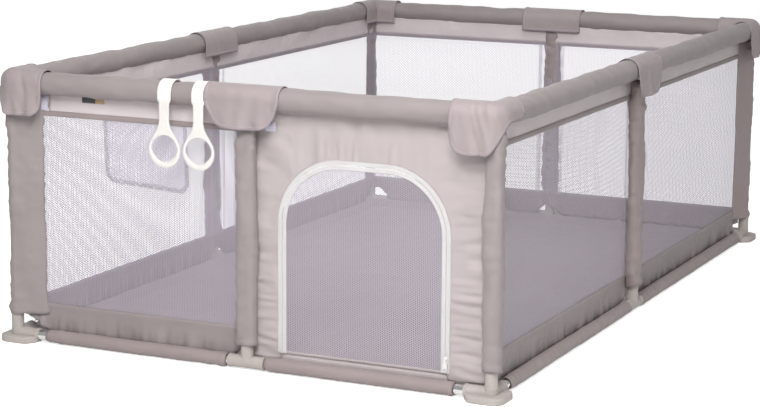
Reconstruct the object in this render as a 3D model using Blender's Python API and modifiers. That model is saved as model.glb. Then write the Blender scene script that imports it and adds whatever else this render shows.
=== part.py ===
"""Rectangular knock-down playpen: steel tubes in moulded sockets, padded top rails,
mesh walls, a zipped crawl-through door in the front and two pull-up rings.

Metres, +Z up.  The front (door) side faces -Y and X runs along it.  The origin is on
the floor at the middle of the rectangle that the post axes make.
"""
import math

import bmesh
import bpy
from mathutils import Matrix, Vector

# ---- driving sizes ------------------------------------------------------------------
SPAN_X = 1.200            # front side, post axis to post axis
SPAN_Y = 1.936            # long side, post axis to post axis
LIFT = 0.001              # floor to the lowest side of the bottom hem sleeve
TOP_Z = 0.6125            # axis of the top tubes
FRONT_MID_X = 0.012       # middle post of the front side
BACK_MID_X = 0.0          # middle post of the back side
SIDE_MID_Y = -0.036       # middle posts of both long sides

# ---- tubes and sockets --------------------------------------------------------------
TUBE_R = 0.011            # steel tube, outside
TUBE_WALL = 0.001
FIT = 0.0003              # gap that touching pieces keep
SOCKET_WALL = 0.0033      # tube to the outside of a moulded socket
SOCKET_REACH = 0.060      # corner socket, post axis to mouth
TEE_REACH = 0.045         # tee, post axis to each mouth
POST_REACH = 0.052        # upright socket, tube axis to mouth
HUB_RISE = 0.0007         # socket's outside to that of the knuckle where sockets cross
SEAT = 0.020              # depth left solid round each socket crossing
ROUND_SIDES = 12          # facets of every tube and socket

# ---- foot pads ----------------------------------------------------------------------
FOOT_OVERHANG = 0.036     # post axis to the pad's outer edge
FOOT_ROUND = 0.028        # radius of its outer corner
FOOT_THICK = 0.016
FOOT_SHOULDER = 0.034     # where the pad starts to narrow towards a socket mouth
FOOT_TIP = 0.006          # half width left at the mouth, on the outside
FOOT_SETBACK = 0.002      # pad to socket mouth
FOOT_TUCK = 0.0011        # socket's inner side to the pad's edge inside the pen
FOOT_BEVEL = 0.002

# ---- fabric cover -------------------------------------------------------------------
PAD_R = 0.0278            # foam padded rail sleeve, outside
PAD_BORE_GAP = 0.0007     # sockets to its bore
PAD_END_GAP = 0.0022      # how much further than its own radius the padding stops from a post axis
PAD_SIDES = 20
WALL_CLEAR = 0.0017       # sockets to the outer face of the wall, towards the inside
WALL_T = 0.002
WALL_GAP = 0.0006         # slit between two neighbouring wall panels
WALL_END_Z = 0.058        # foot of the wall at a post, above the sockets
HEM_CLEAR = 0.0015        # bottom tube to the bore of its hem sleeve
HEM_WALL = 0.0045         # hem sleeve, bore to outside
HEM_SIDES = 12
HEM_AT_CORNER = 0.084     # post axis to the end of the hem sleeve
HEM_AT_MID = 0.050
CAP_GAP = 0.0006          # padding to corner cap
CAP_T = 0.002
CAP_REACH = 0.096         # corner cap, post axis to its edge along each rail
CAP_HEM_Z = 0.532         # lower edge outside
CAP_INNER_Z = 0.578       # lower edge inside
CAP_ARC_STEPS = 8
FLOOR_GAP = 0.0025        # wall to the edge of the floor sheet
FLOOR_T = 0.003
FLOOR_LIFT = 0.0008

# ---- crawl-through door -------------------------------------------------------------
DOOR_X = 0.2893           # middle of the arch
DOOR_HALF = 0.197         # zip line, middle of the arch to a leg
DOOR_TOP_Z = 0.4785       # zip line, highest point
DOOR_ROUND = 0.140        # radius of the arch's shoulders
DOOR_HINGE_Z = 0.0435     # line that the flap turns on
DOOR_SILL_GAP = 0.0015
ARC_STEPS = 8             # facets of each shoulder
ZIP_OUT = 0.0035          # zip line to the outer edge of the tooth strip
ZIP_IN = 0.0025           # zip line to its inner edge
ZIP_T = 0.003
ZIP_CLEAR = 0.0005        # tooth strip to surround
FLAP_CLEAR = 0.0010       # tooth strip to flap

# ---- zip slider and puller ----------------------------------------------------------
SLIDER_X = 0.0020         # outwards from the zip line, clear of the flap's path
SLIDER_Z = 0.0750         # closed position of its pin
SLIDER_SIZE = (0.0080, 0.0045, 0.0140)
SLIDER_BEVEL = 0.0008
SMALL_SIDES = 10              # facets of the pin and of the puller's eye
PIN_STANDOFF = 0.0027     # slider's face to the pin
PIN_R = 0.0007
CHEEK_INNER = 0.0026      # half the space between the two cheeks
CHEEK_T = 0.0010
CHEEK_H = 0.0036
PULLER_LENGTH = 0.026
PULLER_WIDTH = 0.0098
PULLER_NECK = 0.0042
PULLER_NECK_LENGTH = 0.0045
PULLER_T = 0.0016
PULLER_EYE_R = 0.0011
PULLER_EYE_WALL = 0.0007
PULLER_HOLE_R = 0.0026

# ---- pull-up rings ------------------------------------------------------------------
RING_X = (-0.179, -0.092)     # left and right ring
RING_Z = 0.487                # middle of the ring
RING_R = 0.041
RING_HOLE = (0.0335, 0.0270)  # half width and half height of the grip hole
RING_HOLE_RISE = 0.003        # grip hole above the ring's middle
RING_T = 0.005
RING_SIDES = 28
SHANK_WIDTH = 0.025
SHANK_TOP_Z = 0.592
STRAP_WIDTH = 0.034
STRAP_T = 0.0025
STRAP_GAP = 0.0008            # padding to strap
STRAP_TAIL_Z = 0.5926         # end of the strap in front
STRAP_WRAP = math.radians(140.0)   # how far it reaches over the rail, from the front

# ---- mesh pocket --------------------------------------------------------------------
POCKET_X = (-0.365, -0.155)
POCKET_Z = (0.397, 0.560)
POCKET_DEPTH = 0.012
POCKET_WALL = 0.0015

HALF_X = SPAN_X / 2
HALF_Y = SPAN_Y / 2
BORE_R = TUBE_R + FIT
SOCKET_R = TUBE_R + SOCKET_WALL
HUB_R = SOCKET_R + HUB_RISE
HEM_BORE_R = TUBE_R + HEM_CLEAR
HEM_R = HEM_BORE_R + HEM_WALL
LOW_Z = HEM_R + LIFT          # axis of the bottom tubes
PAD_BORE_R = SOCKET_R + PAD_BORE_GAP
PAD_END = PAD_R + PAD_END_GAP     # post axis to the end of the padding
WALL_INSET = SOCKET_R + WALL_CLEAR
FOOT_INNER = SOCKET_R - FOOT_TUCK
FLOOR_INSET = WALL_INSET + WALL_T + FLOOR_GAP


# ---- scene --------------------------------------------------------------------------
def new_collection(name):
    collection = bpy.data.collections.new(name)
    bpy.context.scene.collection.children.link(collection)
    return collection


for old in list(bpy.data.objects):
    bpy.data.objects.remove(old)
PLAYPEN = new_collection("playpen")
WORKSHOP = new_collection("workshop")


def material(name, colour, roughness, metallic=0.0):
    made = bpy.data.materials.new(name)
    made.use_nodes = True
    shader = made.node_tree.nodes["Principled BSDF"]
    shader.inputs["Base Color"].default_value = (*colour, 1.0)
    shader.inputs["Roughness"].default_value = roughness
    shader.inputs["Metallic"].default_value = metallic
    return made


LOOKS = {
    "steel": ((0.75, 0.75, 0.76), 0.15, 1.0),
    "moulding": ((0.40, 0.37, 0.34), 0.45, 0.0),
    "oxford": ((0.50, 0.44, 0.42), 0.80, 0.0),
    "net": ((0.62, 0.60, 0.66), 0.85, 0.0),
    "white": ((0.86, 0.85, 0.84), 0.40, 0.0),
}


def add_part(name, mesh, look, location=(0, 0, 0), turn=0.0, parent=None):
    """One named piece of the playpen with its own material."""
    piece = bpy.data.objects.new(name, mesh)
    PLAYPEN.objects.link(piece)
    piece.parent = parent
    piece.location = location
    piece.rotation_euler.z = turn
    piece.data.materials.clear()
    piece.data.materials.append(material(name, *LOOKS[look]))
    return piece


# ---- shapes -------------------------------------------------------------------------
def mesh_from(shape):
    bmesh.ops.recalc_face_normals(shape, faces=shape.faces)
    mesh = bpy.data.meshes.new("shape")
    shape.to_mesh(mesh)
    shape.free()
    return mesh


def block(low, high):
    """A box between two opposite corners."""
    low, high = Vector(low), Vector(high)
    shape = bmesh.new()
    size = Matrix.Diagonal((*(high - low), 1.0))
    bmesh.ops.create_cube(shape, size=1.0, matrix=Matrix.Translation((low + high) / 2) @ size)
    return mesh_from(shape)


def rod(start, end, radius, sides=ROUND_SIDES):
    """A round bar between two points."""
    start, end = Vector(start), Vector(end)
    along = end - start
    turn = along.to_track_quat("Z", "X").to_matrix().to_4x4()
    shape = bmesh.new()
    bmesh.ops.create_cone(shape, cap_ends=True, segments=sides, radius1=radius, radius2=radius,
                          depth=along.length,
                          matrix=Matrix.Translation((start + end) / 2) @ turn)
    return mesh_from(shape)


def plate(outline, offset, place):
    """A flat outline given as (u, v) pairs, pushed out by a vector; place maps u, v to a point."""
    shape = bmesh.new()
    face = shape.faces.new([shape.verts.new(place(u, v)) for u, v in outline])
    pushed = bmesh.ops.extrude_face_region(shape, geom=[face])
    moved = [item for item in pushed["geom"] if isinstance(item, bmesh.types.BMVert)]
    bmesh.ops.translate(shape, verts=moved, vec=offset)
    return mesh_from(shape)


def helper(mesh):
    """An operand for a Boolean: drawn as wire and never rendered."""
    tool = bpy.data.objects.new("tool", mesh)
    WORKSHOP.objects.link(tool)
    tool.hide_render = True
    tool.display_type = "WIRE"
    return tool


def evaluated(work):
    graph = bpy.context.evaluated_depsgraph_get()
    return bpy.data.meshes.new_from_object(work.evaluated_get(graph))


def combine(joined, cut=()):
    """The union of some meshes, less some others, as one finished mesh."""
    tools = [helper(mesh) for mesh in (*joined, *cut)]
    work = tools[0]
    for index, tool in enumerate(tools[1:], start=1):
        step = work.modifiers.new("boolean", "BOOLEAN")
        step.operation = "UNION" if index < len(joined) else "DIFFERENCE"
        step.object = tool
    mesh = evaluated(work)
    for tool in tools:
        bpy.data.objects.remove(tool)
    return mesh


def bevelled(mesh, width, segments=2):
    """The same mesh with its sharp edges rounded."""
    work = helper(mesh)
    step = work.modifiers.new("bevel", "BEVEL")
    step.width = width
    step.segments = segments
    step.limit_method = "ANGLE"
    step.angle_limit = math.radians(50)
    rounded = evaluated(work)
    bpy.data.objects.remove(work)
    return rounded


def arc(centre, radius, start, stop, steps):
    """Points along a circle, from one angle to another, ends included."""
    radius_u, radius_v = radius if isinstance(radius, tuple) else (radius, radius)
    angles = [start + (stop - start) * step / steps for step in range(steps + 1)]
    return [(centre[0] + radius_u * math.cos(a), centre[1] + radius_v * math.sin(a)) for a in angles]


# ---- the four sides -----------------------------------------------------------------
class Side:
    """One side of the rectangle: u runs along it, n points out of the pen."""

    def __init__(self, name, along, outward, distance, half, middle):
        self.name = name
        self.along = Vector(along)
        self.outward = Vector(outward)
        self.distance = distance
        self.half = half
        self.middle = middle

    def at(self, u, out, z):
        return self.along * u + self.outward * (self.distance + out) + Vector((0, 0, z))


FRONT = Side("front", (1, 0, 0), (0, -1, 0), HALF_Y, HALF_X, FRONT_MID_X)
BACK = Side("back", (1, 0, 0), (0, 1, 0), HALF_Y, HALF_X, BACK_MID_X)
LEFT = Side("left", (0, 1, 0), (-1, 0, 0), HALF_X, HALF_Y, SIDE_MID_Y)
RIGHT = Side("right", (0, 1, 0), (1, 0, 0), HALF_X, HALF_Y, SIDE_MID_Y)
SIDES = (FRONT, BACK, LEFT, RIGHT)
HALF_NAMES = {
    "front": ("left", "right"), "back": ("left", "right"),
    "left": ("front", "back"), "right": ("front", "back"),
}
CORNERS = (          # name, x, y and the turn from the front right corner
    ("front_right", HALF_X, -HALF_Y, 0.0),
    ("back_right", HALF_X, HALF_Y, math.pi / 2),
    ("back_left", -HALF_X, HALF_Y, math.pi),
    ("front_left", -HALF_X, -HALF_Y, -math.pi / 2),
)


# ---- corner feet: three sockets on a pad --------------------------------------------
def foot_outline():
    """Half of the pad's edge, then its mirror image about the corner's diagonal."""
    centre = FOOT_OVERHANG - FOOT_ROUND
    tip = FOOT_SETBACK - SOCKET_REACH
    half = [(-FOOT_INNER, FOOT_INNER), (tip, FOOT_INNER), (tip, -FOOT_TIP),
            (-FOOT_SHOULDER, -FOOT_OVERHANG + FOOT_BEVEL)]
    half += arc((centre, -centre), FOOT_ROUND, -math.pi / 2, -math.pi / 4, 3)
    mirrored = [(-v, -u) for u, v in reversed(half[1:-1])]
    return half + mirrored


def three_way(rise):
    """Sockets towards -X, +Y and along Z, with their bores."""
    origin = Vector((0, 0, 0))
    arms = [Vector((-1, 0, 0)), Vector((0, 1, 0)), Vector((0, 0, rise))]
    reach = [SOCKET_REACH, SOCKET_REACH, POST_REACH]
    sockets = [rod(origin, arm * length, SOCKET_R) for arm, length in zip(arms, reach)]
    hub = [rod((0, 0, -HUB_R), (0, 0, HUB_R), HUB_R)]
    bores = [rod(arm * SEAT, arm * (length + FIT), BORE_R) for arm, length in zip(arms, reach)]
    return hub + sockets, bores


def corner_foot_mesh():
    pad = plate(foot_outline(), (0, 0, FOOT_THICK), lambda u, v: (u, v, -LOW_Z))
    sockets, bores = three_way(1)
    return combine([bevelled(pad, FOOT_BEVEL, 1)] + sockets, bores)


def top_corner_mesh():
    sockets, bores = three_way(-1)
    return combine(sockets, bores)


foot_mesh = corner_foot_mesh()
crown_mesh = top_corner_mesh()
for name, x, y, turn in CORNERS:
    add_part(f"corner_foot_{name}", foot_mesh.copy(), "moulding", (x, y, LOW_Z), turn)
    add_part(f"top_corner_{name}", crown_mesh.copy(), "moulding", (x, y, TOP_Z), turn)


# ---- tubes, tees, top rails and padding of each side ----------------------------------
def tube_mesh(start, end):
    """A steel tube between two points, shortened by the fit gap at both ends."""
    start, end = Vector(start), Vector(end)
    inward = (end - start).normalized() * FIT
    past = inward * 4
    outer = rod(start + inward, end - inward, TUBE_R)
    return combine([outer], [rod(start - past, end + past, TUBE_R - TUBE_WALL)])


def tee_mesh(side):
    """A base tee: one socket each way along the side and one upright."""
    origin = Vector((0, 0, 0))
    up = Vector((0, 0, 1))
    barrel = rod(side.along * -TEE_REACH, side.along * TEE_REACH, HUB_R)
    stem = rod(origin, up * POST_REACH, SOCKET_R)
    cuts = [rod(up * SEAT, up * (POST_REACH + FIT), BORE_R)]
    for way in (-1, 1):
        seat = side.along * way * TUBE_R
        cuts.append(rod(seat, side.along * way * (TEE_REACH + FIT), BORE_R))
    return combine([barrel, stem], cuts)


def top_rail_mesh(side):
    """Two top tubes and the tee that joins them over the middle post."""
    low, high = -side.half + SEAT + FIT, side.half - SEAT - FIT
    bar = rod(side.at(low, 0, TOP_Z), side.at(high, 0, TOP_Z), TUBE_R)
    barrel = rod(side.at(side.middle - TEE_REACH, 0, TOP_Z),
                 side.at(side.middle + TEE_REACH, 0, TOP_Z), SOCKET_R)
    stem = rod(side.at(side.middle, 0, TOP_Z), side.at(side.middle, 0, TOP_Z - POST_REACH), SOCKET_R)
    cuts = [rod(side.at(side.middle, 0, TOP_Z - SEAT),
                side.at(side.middle, 0, TOP_Z - POST_REACH - FIT), BORE_R)]
    for end, seat in ((low - FIT, side.middle - SEAT), (high + FIT, side.middle + SEAT)):
        cuts.append(rod(side.at(end, 0, TOP_Z), side.at(seat, 0, TOP_Z), TUBE_R - TUBE_WALL))
    return combine([bar, barrel, stem], cuts)


def rail_pad_mesh(side):
    """Foam sleeve of a top rail, bored for the rail and slotted for the middle post."""
    end = side.half - PAD_END
    sleeve = rod(side.at(-end, 0, TOP_Z), side.at(end, 0, TOP_Z), PAD_R, PAD_SIDES)
    bore = rod(side.at(-end - FIT, 0, TOP_Z), side.at(end + FIT, 0, TOP_Z), PAD_BORE_R)
    slot = rod(side.at(side.middle, 0, TOP_Z), side.at(side.middle, 0, TOP_Z - PAD_R - FIT), PAD_BORE_R)
    return combine([sleeve], [bore, slot])


def post_mesh():
    return tube_mesh((0, 0, LOW_Z + SEAT), (0, 0, TOP_Z - SEAT))


for name, x, y, turn in CORNERS:
    add_part(f"post_{name}", post_mesh(), "steel", (x, y, 0))

for side in SIDES:
    first, second = HALF_NAMES[side.name]
    add_part(f"post_{side.name}_middle", post_mesh(), "steel", side.at(side.middle, 0, 0))
    add_part(f"base_tee_{side.name}", tee_mesh(side), "moulding", side.at(side.middle, 0, LOW_Z))
    add_part(f"bottom_tube_{side.name}_{first}",
             tube_mesh(side.at(-side.half + SEAT, 0, LOW_Z), side.at(side.middle - TUBE_R, 0, LOW_Z)),
             "steel")
    add_part(f"bottom_tube_{side.name}_{second}",
             tube_mesh(side.at(side.middle + TUBE_R, 0, LOW_Z), side.at(side.half - SEAT, 0, LOW_Z)),
             "steel")
    add_part(f"top_rail_{side.name}", top_rail_mesh(side), "steel")
    add_part(f"rail_pad_{side.name}", rail_pad_mesh(side), "oxford")


# ---- wall panels with their bottom hem sleeves ---------------------------------------
WALL_MIDDLE = WALL_INSET + WALL_T / 2
# the wall stops just under the padding, which curves away above it
WALL_TOP_Z = TOP_Z - math.sqrt(PAD_R ** 2 - WALL_INSET ** 2) - FIT * 2


def door_outline(grow, foot_z):
    """The arch of the zip line, grown outwards, closed along a line at foot_z."""
    half = DOOR_HALF + grow
    top = DOOR_TOP_Z + grow
    radius = DOOR_ROUND + grow
    right = arc((DOOR_X + half - radius, top - radius), radius, 0, math.pi / 2, ARC_STEPS)
    left = arc((DOOR_X - half + radius, top - radius), radius, math.pi / 2, math.pi, ARC_STEPS)
    return [(DOOR_X + half, foot_z)] + right + left + [(DOOR_X - half, foot_z)]


def front_sheet(outline, thickness):
    """A flat piece in the plane of the front wall."""
    out = -WALL_MIDDLE + thickness / 2
    return plate(outline, (0, thickness, 0), lambda u, v: FRONT.at(u, out, v))


def wall_ends(side, second):
    """Both ends of a panel along its side, and both ends of its hem sleeve."""
    reach = side.half - WALL_INSET
    if side in (FRONT, BACK):
        reach -= WALL_T + WALL_GAP
    if second:
        return (side.middle + WALL_GAP / 2, reach), (side.middle + HEM_AT_MID, side.half - HEM_AT_CORNER)
    return (-reach, side.middle - WALL_GAP / 2), (-side.half + HEM_AT_CORNER, side.middle - HEM_AT_MID)


def wall_mesh(side, second, opening=None):
    (low, high), (hem_low, hem_high) = wall_ends(side, second)
    outline = [(low, WALL_END_Z), (hem_low, LOW_Z), (hem_high, LOW_Z), (high, WALL_END_Z),
               (high, WALL_TOP_Z), (low, WALL_TOP_Z)]
    sheet = plate(outline, side.outward * -WALL_T, lambda u, v: side.at(u, -WALL_INSET, v))
    hem = rod(side.at(hem_low, 0, LOW_Z), side.at(hem_high, 0, LOW_Z), HEM_R, HEM_SIDES)
    cuts = [rod(side.at(hem_low - FIT, 0, LOW_Z), side.at(hem_high + FIT, 0, LOW_Z),
                HEM_BORE_R, HEM_SIDES)]
    if opening:
        cuts.append(opening)
    return combine([sheet, hem], cuts)


door_opening = front_sheet(door_outline(ZIP_OUT + ZIP_CLEAR, DOOR_HINGE_Z - DOOR_SILL_GAP), WALL_T * 3)
for side in SIDES:
    for second, half_name in enumerate(HALF_NAMES[side.name]):
        if side is FRONT and second:
            add_part("door_surround", wall_mesh(side, second, door_opening), "oxford")
        else:
            add_part(f"wall_{side.name}_{half_name}", wall_mesh(side, second), "net")


# ---- corner caps of the cover ---------------------------------------------------------
def cap_profile():
    """Cross-section over a rail: u is outwards, v is up from the rail's axis."""
    # the flats between the corners of the arc clear the padding, not just its corners
    inner = (PAD_R + CAP_GAP) / math.cos(math.pi / (2 * CAP_ARC_STEPS))
    outer = inner + CAP_T
    hem, lining = CAP_HEM_Z - TOP_Z, CAP_INNER_Z - TOP_Z
    return ([(inner, hem), (outer, hem)] + arc((0, 0), outer, 0, math.pi, CAP_ARC_STEPS)
            + [(-outer, lining), (-inner, lining)] + arc((0, 0), inner, math.pi, 0, CAP_ARC_STEPS))


def cap_mesh():
    """One arm along -X, cut on the corner's diagonal and mirrored about it."""
    to_diagonal = Matrix.Rotation(math.radians(-45), 4, "Z")
    reach = CAP_REACH + PAD_R * 2
    arm = plate(cap_profile(), to_diagonal @ Vector((reach, 0, 0)),
                lambda u, v: to_diagonal @ Vector((-CAP_REACH, -u, v)))
    work = helper(arm)
    step = work.modifiers.new("mirror", "MIRROR")
    step.use_axis = (True, False, False)
    step.use_bisect_axis = (True, False, False)
    step.use_bisect_flip_axis = (True, False, False)
    step.merge_threshold = 0.0001
    mesh = evaluated(work)
    mesh.transform(to_diagonal.inverted())
    bpy.data.objects.remove(work)
    return mesh


corner_cap = cap_mesh()
for name, x, y, turn in CORNERS:
    add_part(f"corner_cap_{name}", corner_cap.copy(), "oxford", (x, y, TOP_Z), turn)


# ---- floor sheet ----------------------------------------------------------------------
floor_x, floor_y = HALF_X - FLOOR_INSET, HALF_Y - FLOOR_INSET
add_part("floor_sheet", block((-floor_x, -floor_y, FLOOR_LIFT), (floor_x, floor_y, FLOOR_LIFT + FLOOR_T)),
         "oxford")


# ---- door flap and its zip ------------------------------------------------------------
hinge = FRONT.at(DOOR_X, -WALL_MIDDLE, DOOR_HINGE_Z)
flap = front_sheet(door_outline(-ZIP_IN - FLAP_CLEAR, DOOR_HINGE_Z), WALL_T)
flap.transform(Matrix.Translation(-hinge))
add_part("door_flap", flap, "net", hinge)

strip = front_sheet(door_outline(ZIP_OUT, DOOR_HINGE_Z), ZIP_T)
inside = front_sheet(door_outline(-ZIP_IN, DOOR_HINGE_Z - FIT), ZIP_T * 2)
add_part("zip_teeth", combine([strip], [inside]), "white")


def slider_mesh():
    """Slider body with two cheeks and the pin that the puller hangs on; origin on the pin."""
    width, depth, height = SLIDER_SIZE
    back = PIN_STANDOFF
    body = bevelled(block((-width / 2, back, -height / 2), (width / 2, back + depth, height / 2)),
                    SLIDER_BEVEL, 1)
    cheeks = []
    for way in (-1, 1):
        inner, outer = way * CHEEK_INNER, way * (CHEEK_INNER + CHEEK_T)
        cheeks.append(block((min(inner, outer), -CHEEK_H / 2, -CHEEK_H / 2),
                            (max(inner, outer), back + depth / 2, CHEEK_H / 2)))
    pin = rod((-CHEEK_INNER - CHEEK_T / 2, 0, 0), (CHEEK_INNER + CHEEK_T / 2, 0, 0), PIN_R, SMALL_SIDES)
    return combine([body, *cheeks, pin])


def puller_mesh():
    """Flat puller that hangs from the pin: an eye, a neck and a tongue with a hole."""
    half = PULLER_WIDTH / 2
    neck = PULLER_NECK / 2
    end = -PULLER_LENGTH + half
    outline = [(-neck, 0.0), (-neck, -PULLER_NECK_LENGTH), (-half, -PULLER_NECK_LENGTH - half + neck)]
    outline += arc((0, end), half, math.pi, math.pi * 2, 8)
    outline += [(half, -PULLER_NECK_LENGTH - half + neck), (neck, -PULLER_NECK_LENGTH), (neck, 0.0)]
    outline += arc((0, 0), neck, 0, math.pi, 6)[1:-1]
    tongue = plate(outline, (0, PULLER_T, 0), lambda u, v: (u, -PULLER_T / 2, v))
    reach = PULLER_T * 2
    eye = rod((-neck * 2, 0, 0), (neck * 2, 0, 0), PULLER_EYE_R, SMALL_SIDES)
    barrel = rod((-neck, 0, 0), (neck, 0, 0), PULLER_EYE_R + PULLER_EYE_WALL, SMALL_SIDES)
    hole = rod((0, -reach, end), (0, reach, end), PULLER_HOLE_R, 12)
    return combine([tongue, barrel], [eye, hole])


slider_y = -WALL_MIDDLE + ZIP_T / 2 + FIT + SLIDER_SIZE[1] + PIN_STANDOFF
pin_place = FRONT.at(DOOR_X + DOOR_HALF + SLIDER_X, slider_y, SLIDER_Z)
slider = add_part("zip_slider", slider_mesh(), "white", pin_place)
add_part("zip_puller", puller_mesh(), "white", (0, 0, 0), 0.0, slider)


# ---- pull-up rings on their straps ------------------------------------------------------
def strap_mesh():
    """A band over the padded rail, hanging down in front; origin on the rail's axis."""
    inner = PAD_R + STRAP_GAP
    outer = inner + STRAP_T
    tail = STRAP_TAIL_Z - TOP_Z
    profile = [(inner, tail), (outer, tail)] + arc((0, 0), outer, 0, STRAP_WRAP, 8)
    profile += arc((0, 0), inner, STRAP_WRAP, 0, 8)
    return plate(profile, (STRAP_WIDTH, 0, 0), lambda u, v: (-STRAP_WIDTH / 2, -u, v))


def ring_mesh():
    """Moulded ring with a flat shank that joins the strap; origin on the rail's axis."""
    out = -(PAD_R + STRAP_GAP + STRAP_T / 2)
    middle = RING_Z - TOP_Z
    half = SHANK_WIDTH / 2
    join = math.acos(half / RING_R)
    outline = [(half, SHANK_TOP_Z - TOP_Z), (-half, SHANK_TOP_Z - TOP_Z)]
    outline += arc((0, middle), RING_R, math.pi - join, math.tau + join, RING_SIDES)
    ring = plate(outline, (0, RING_T, 0), lambda u, v: (u, out - RING_T / 2, v))
    hole = arc((0, middle + RING_HOLE_RISE), RING_HOLE, 0, math.tau, RING_SIDES)[:-1]
    grip = plate(hole, (0, RING_T * 2, 0), lambda u, v: (u, out - RING_T, v))
    return combine([ring], [grip])


for name, x in zip(("left", "right"), RING_X):
    axis = bpy.data.objects.new(f"ring_axis_{name}", None)
    WORKSHOP.objects.link(axis)
    axis.location = FRONT.at(x, 0, TOP_Z)
    add_part(f"ring_strap_{name}", strap_mesh(), "white", (0, 0, 0), 0.0, axis)
    add_part(f"pull_ring_{name}", ring_mesh(), "white", (0, 0, 0), 0.0, axis)


# ---- mesh pocket inside the front wall ---------------------------------------------------
pocket_back = -WALL_INSET - WALL_T - FIT
pocket = block(FRONT.at(POCKET_X[0], pocket_back, POCKET_Z[0]),
               FRONT.at(POCKET_X[1], pocket_back - POCKET_DEPTH, POCKET_Z[1]))
space = block(FRONT.at(POCKET_X[0] + POCKET_WALL, pocket_back + FIT, POCKET_Z[0] + POCKET_WALL),
              FRONT.at(POCKET_X[1] - POCKET_WALL, pocket_back - POCKET_DEPTH + POCKET_WALL,
                       POCKET_Z[1] + POCKET_WALL))
add_part("mesh_pocket", combine([pocket], [space]), "net")
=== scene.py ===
"""Playpen: what is seen of it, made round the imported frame.

Metres, +Z up. The door side faces -Y and X runs along it. Sides are front, back, left and right.
"""
import math

import bmesh
import bpy
from mathutils import Matrix, Vector, noise


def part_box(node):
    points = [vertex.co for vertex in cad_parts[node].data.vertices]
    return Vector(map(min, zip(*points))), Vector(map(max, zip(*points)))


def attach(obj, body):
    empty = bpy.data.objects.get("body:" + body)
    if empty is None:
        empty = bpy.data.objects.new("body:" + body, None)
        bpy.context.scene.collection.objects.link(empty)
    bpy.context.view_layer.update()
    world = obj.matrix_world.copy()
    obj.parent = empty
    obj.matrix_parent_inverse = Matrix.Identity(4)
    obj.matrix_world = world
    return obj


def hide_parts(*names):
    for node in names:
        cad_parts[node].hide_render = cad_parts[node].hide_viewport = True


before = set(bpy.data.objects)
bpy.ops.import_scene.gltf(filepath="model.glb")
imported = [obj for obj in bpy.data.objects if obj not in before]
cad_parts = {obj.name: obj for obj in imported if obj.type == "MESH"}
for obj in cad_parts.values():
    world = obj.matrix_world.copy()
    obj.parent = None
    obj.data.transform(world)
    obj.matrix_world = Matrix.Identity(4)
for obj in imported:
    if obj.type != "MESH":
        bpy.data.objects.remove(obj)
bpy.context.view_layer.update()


# ---- studio ---------------------------------------------------------------------------
# A pale seamless floor, a wide soft light in front, weaker ones from the right, behind and above,
# and an even white surround. The camera looks down a little from the front right.
CAMERA_PLACE = (2.2789, -5.1295, 1.2678)
CAMERA_YAW, CAMERA_DOWN, CAMERA_ROLL = (math.radians(a) for a in (-25.0235, 10.6306, 0.4239))
CAMERA_LENS = 103.37
FLOOR_SIZE = 60.0
FLOOR_WHITE, FLOOR_GLOW, FLOOR_BOUNCE = 0.80, 0.70, 0.06
SURROUND = 0.36
SOFT_LIGHTS = (          # name, place, what it points at, size, power, colour
    ("key", (1.0, -3.1, 2.3), (0.2, -0.9, 0.3), 1.4, 86.0, (1.0, 0.99, 0.985)),
    ("fill", (4.6, -2.4, 2.6), (0.3, 0.0, 0.3), 3.0, 22.0, (0.97, 0.98, 1.0)),
    ("behind", (-2.6, 4.6, 2.4), (0.0, 0.4, 0.3), 3.0, 26.0, (1.0, 1.0, 1.0)),
    ("top", (0.6, -0.6, 3.0), (0.3, -0.4, 0.0), 2.0, 24.0, (1.0, 1.0, 1.0)),
)


def linear(*colour):
    """Screen colour, 0 to 255, as the linear colour that shaders take."""
    return tuple(((c / 255 + 0.055) / 1.055) ** 2.4 for c in colour)


class Wire:
    """An output of a node, on which sums and products are written as they are read."""

    def __init__(self, recipe, socket):
        self.recipe, self.socket = recipe, socket

    def math(self, operation, first, second=0.0):
        return self.recipe.node("ShaderNodeMath", {"operation": operation}, {0: first, 1: second})

    def other(self, name):
        """Another output of the same node."""
        return Wire(self.recipe, self.socket.node.outputs[name])

    def __add__(self, other):
        return self.math("ADD", self, other)

    def __sub__(self, other):
        return self.math("SUBTRACT", self, other)

    def __rsub__(self, other):
        return self.math("SUBTRACT", other, self)

    def __mul__(self, other):
        return self.math("MULTIPLY", self, other)

    __radd__, __rmul__ = __add__, __mul__

    def sine(self):
        return self.math("SINE", self)


class Recipe:
    """A node tree written down a step at a time."""

    def __init__(self, tree):
        self.tree = tree

    def put(self, socket, value):
        if isinstance(value, Wire):
            self.tree.links.new(value.socket, socket)
        elif hasattr(value, "__len__") and len(socket.default_value) > len(value):
            socket.default_value = (*value, 1.0)
        else:
            socket.default_value = value

    def node(self, kind, settings, sockets, out=0):
        made = self.tree.nodes.new(kind)
        for name, value in settings.items():
            setattr(made, name, value)
        for name, value in sockets.items():
            self.put(made.inputs[name], value)
        return Wire(self, made.outputs[out])

    def end(self, wire):
        self.put(self.tree.nodes.new("NodeGroupOutput").inputs[0], wire)


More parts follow.
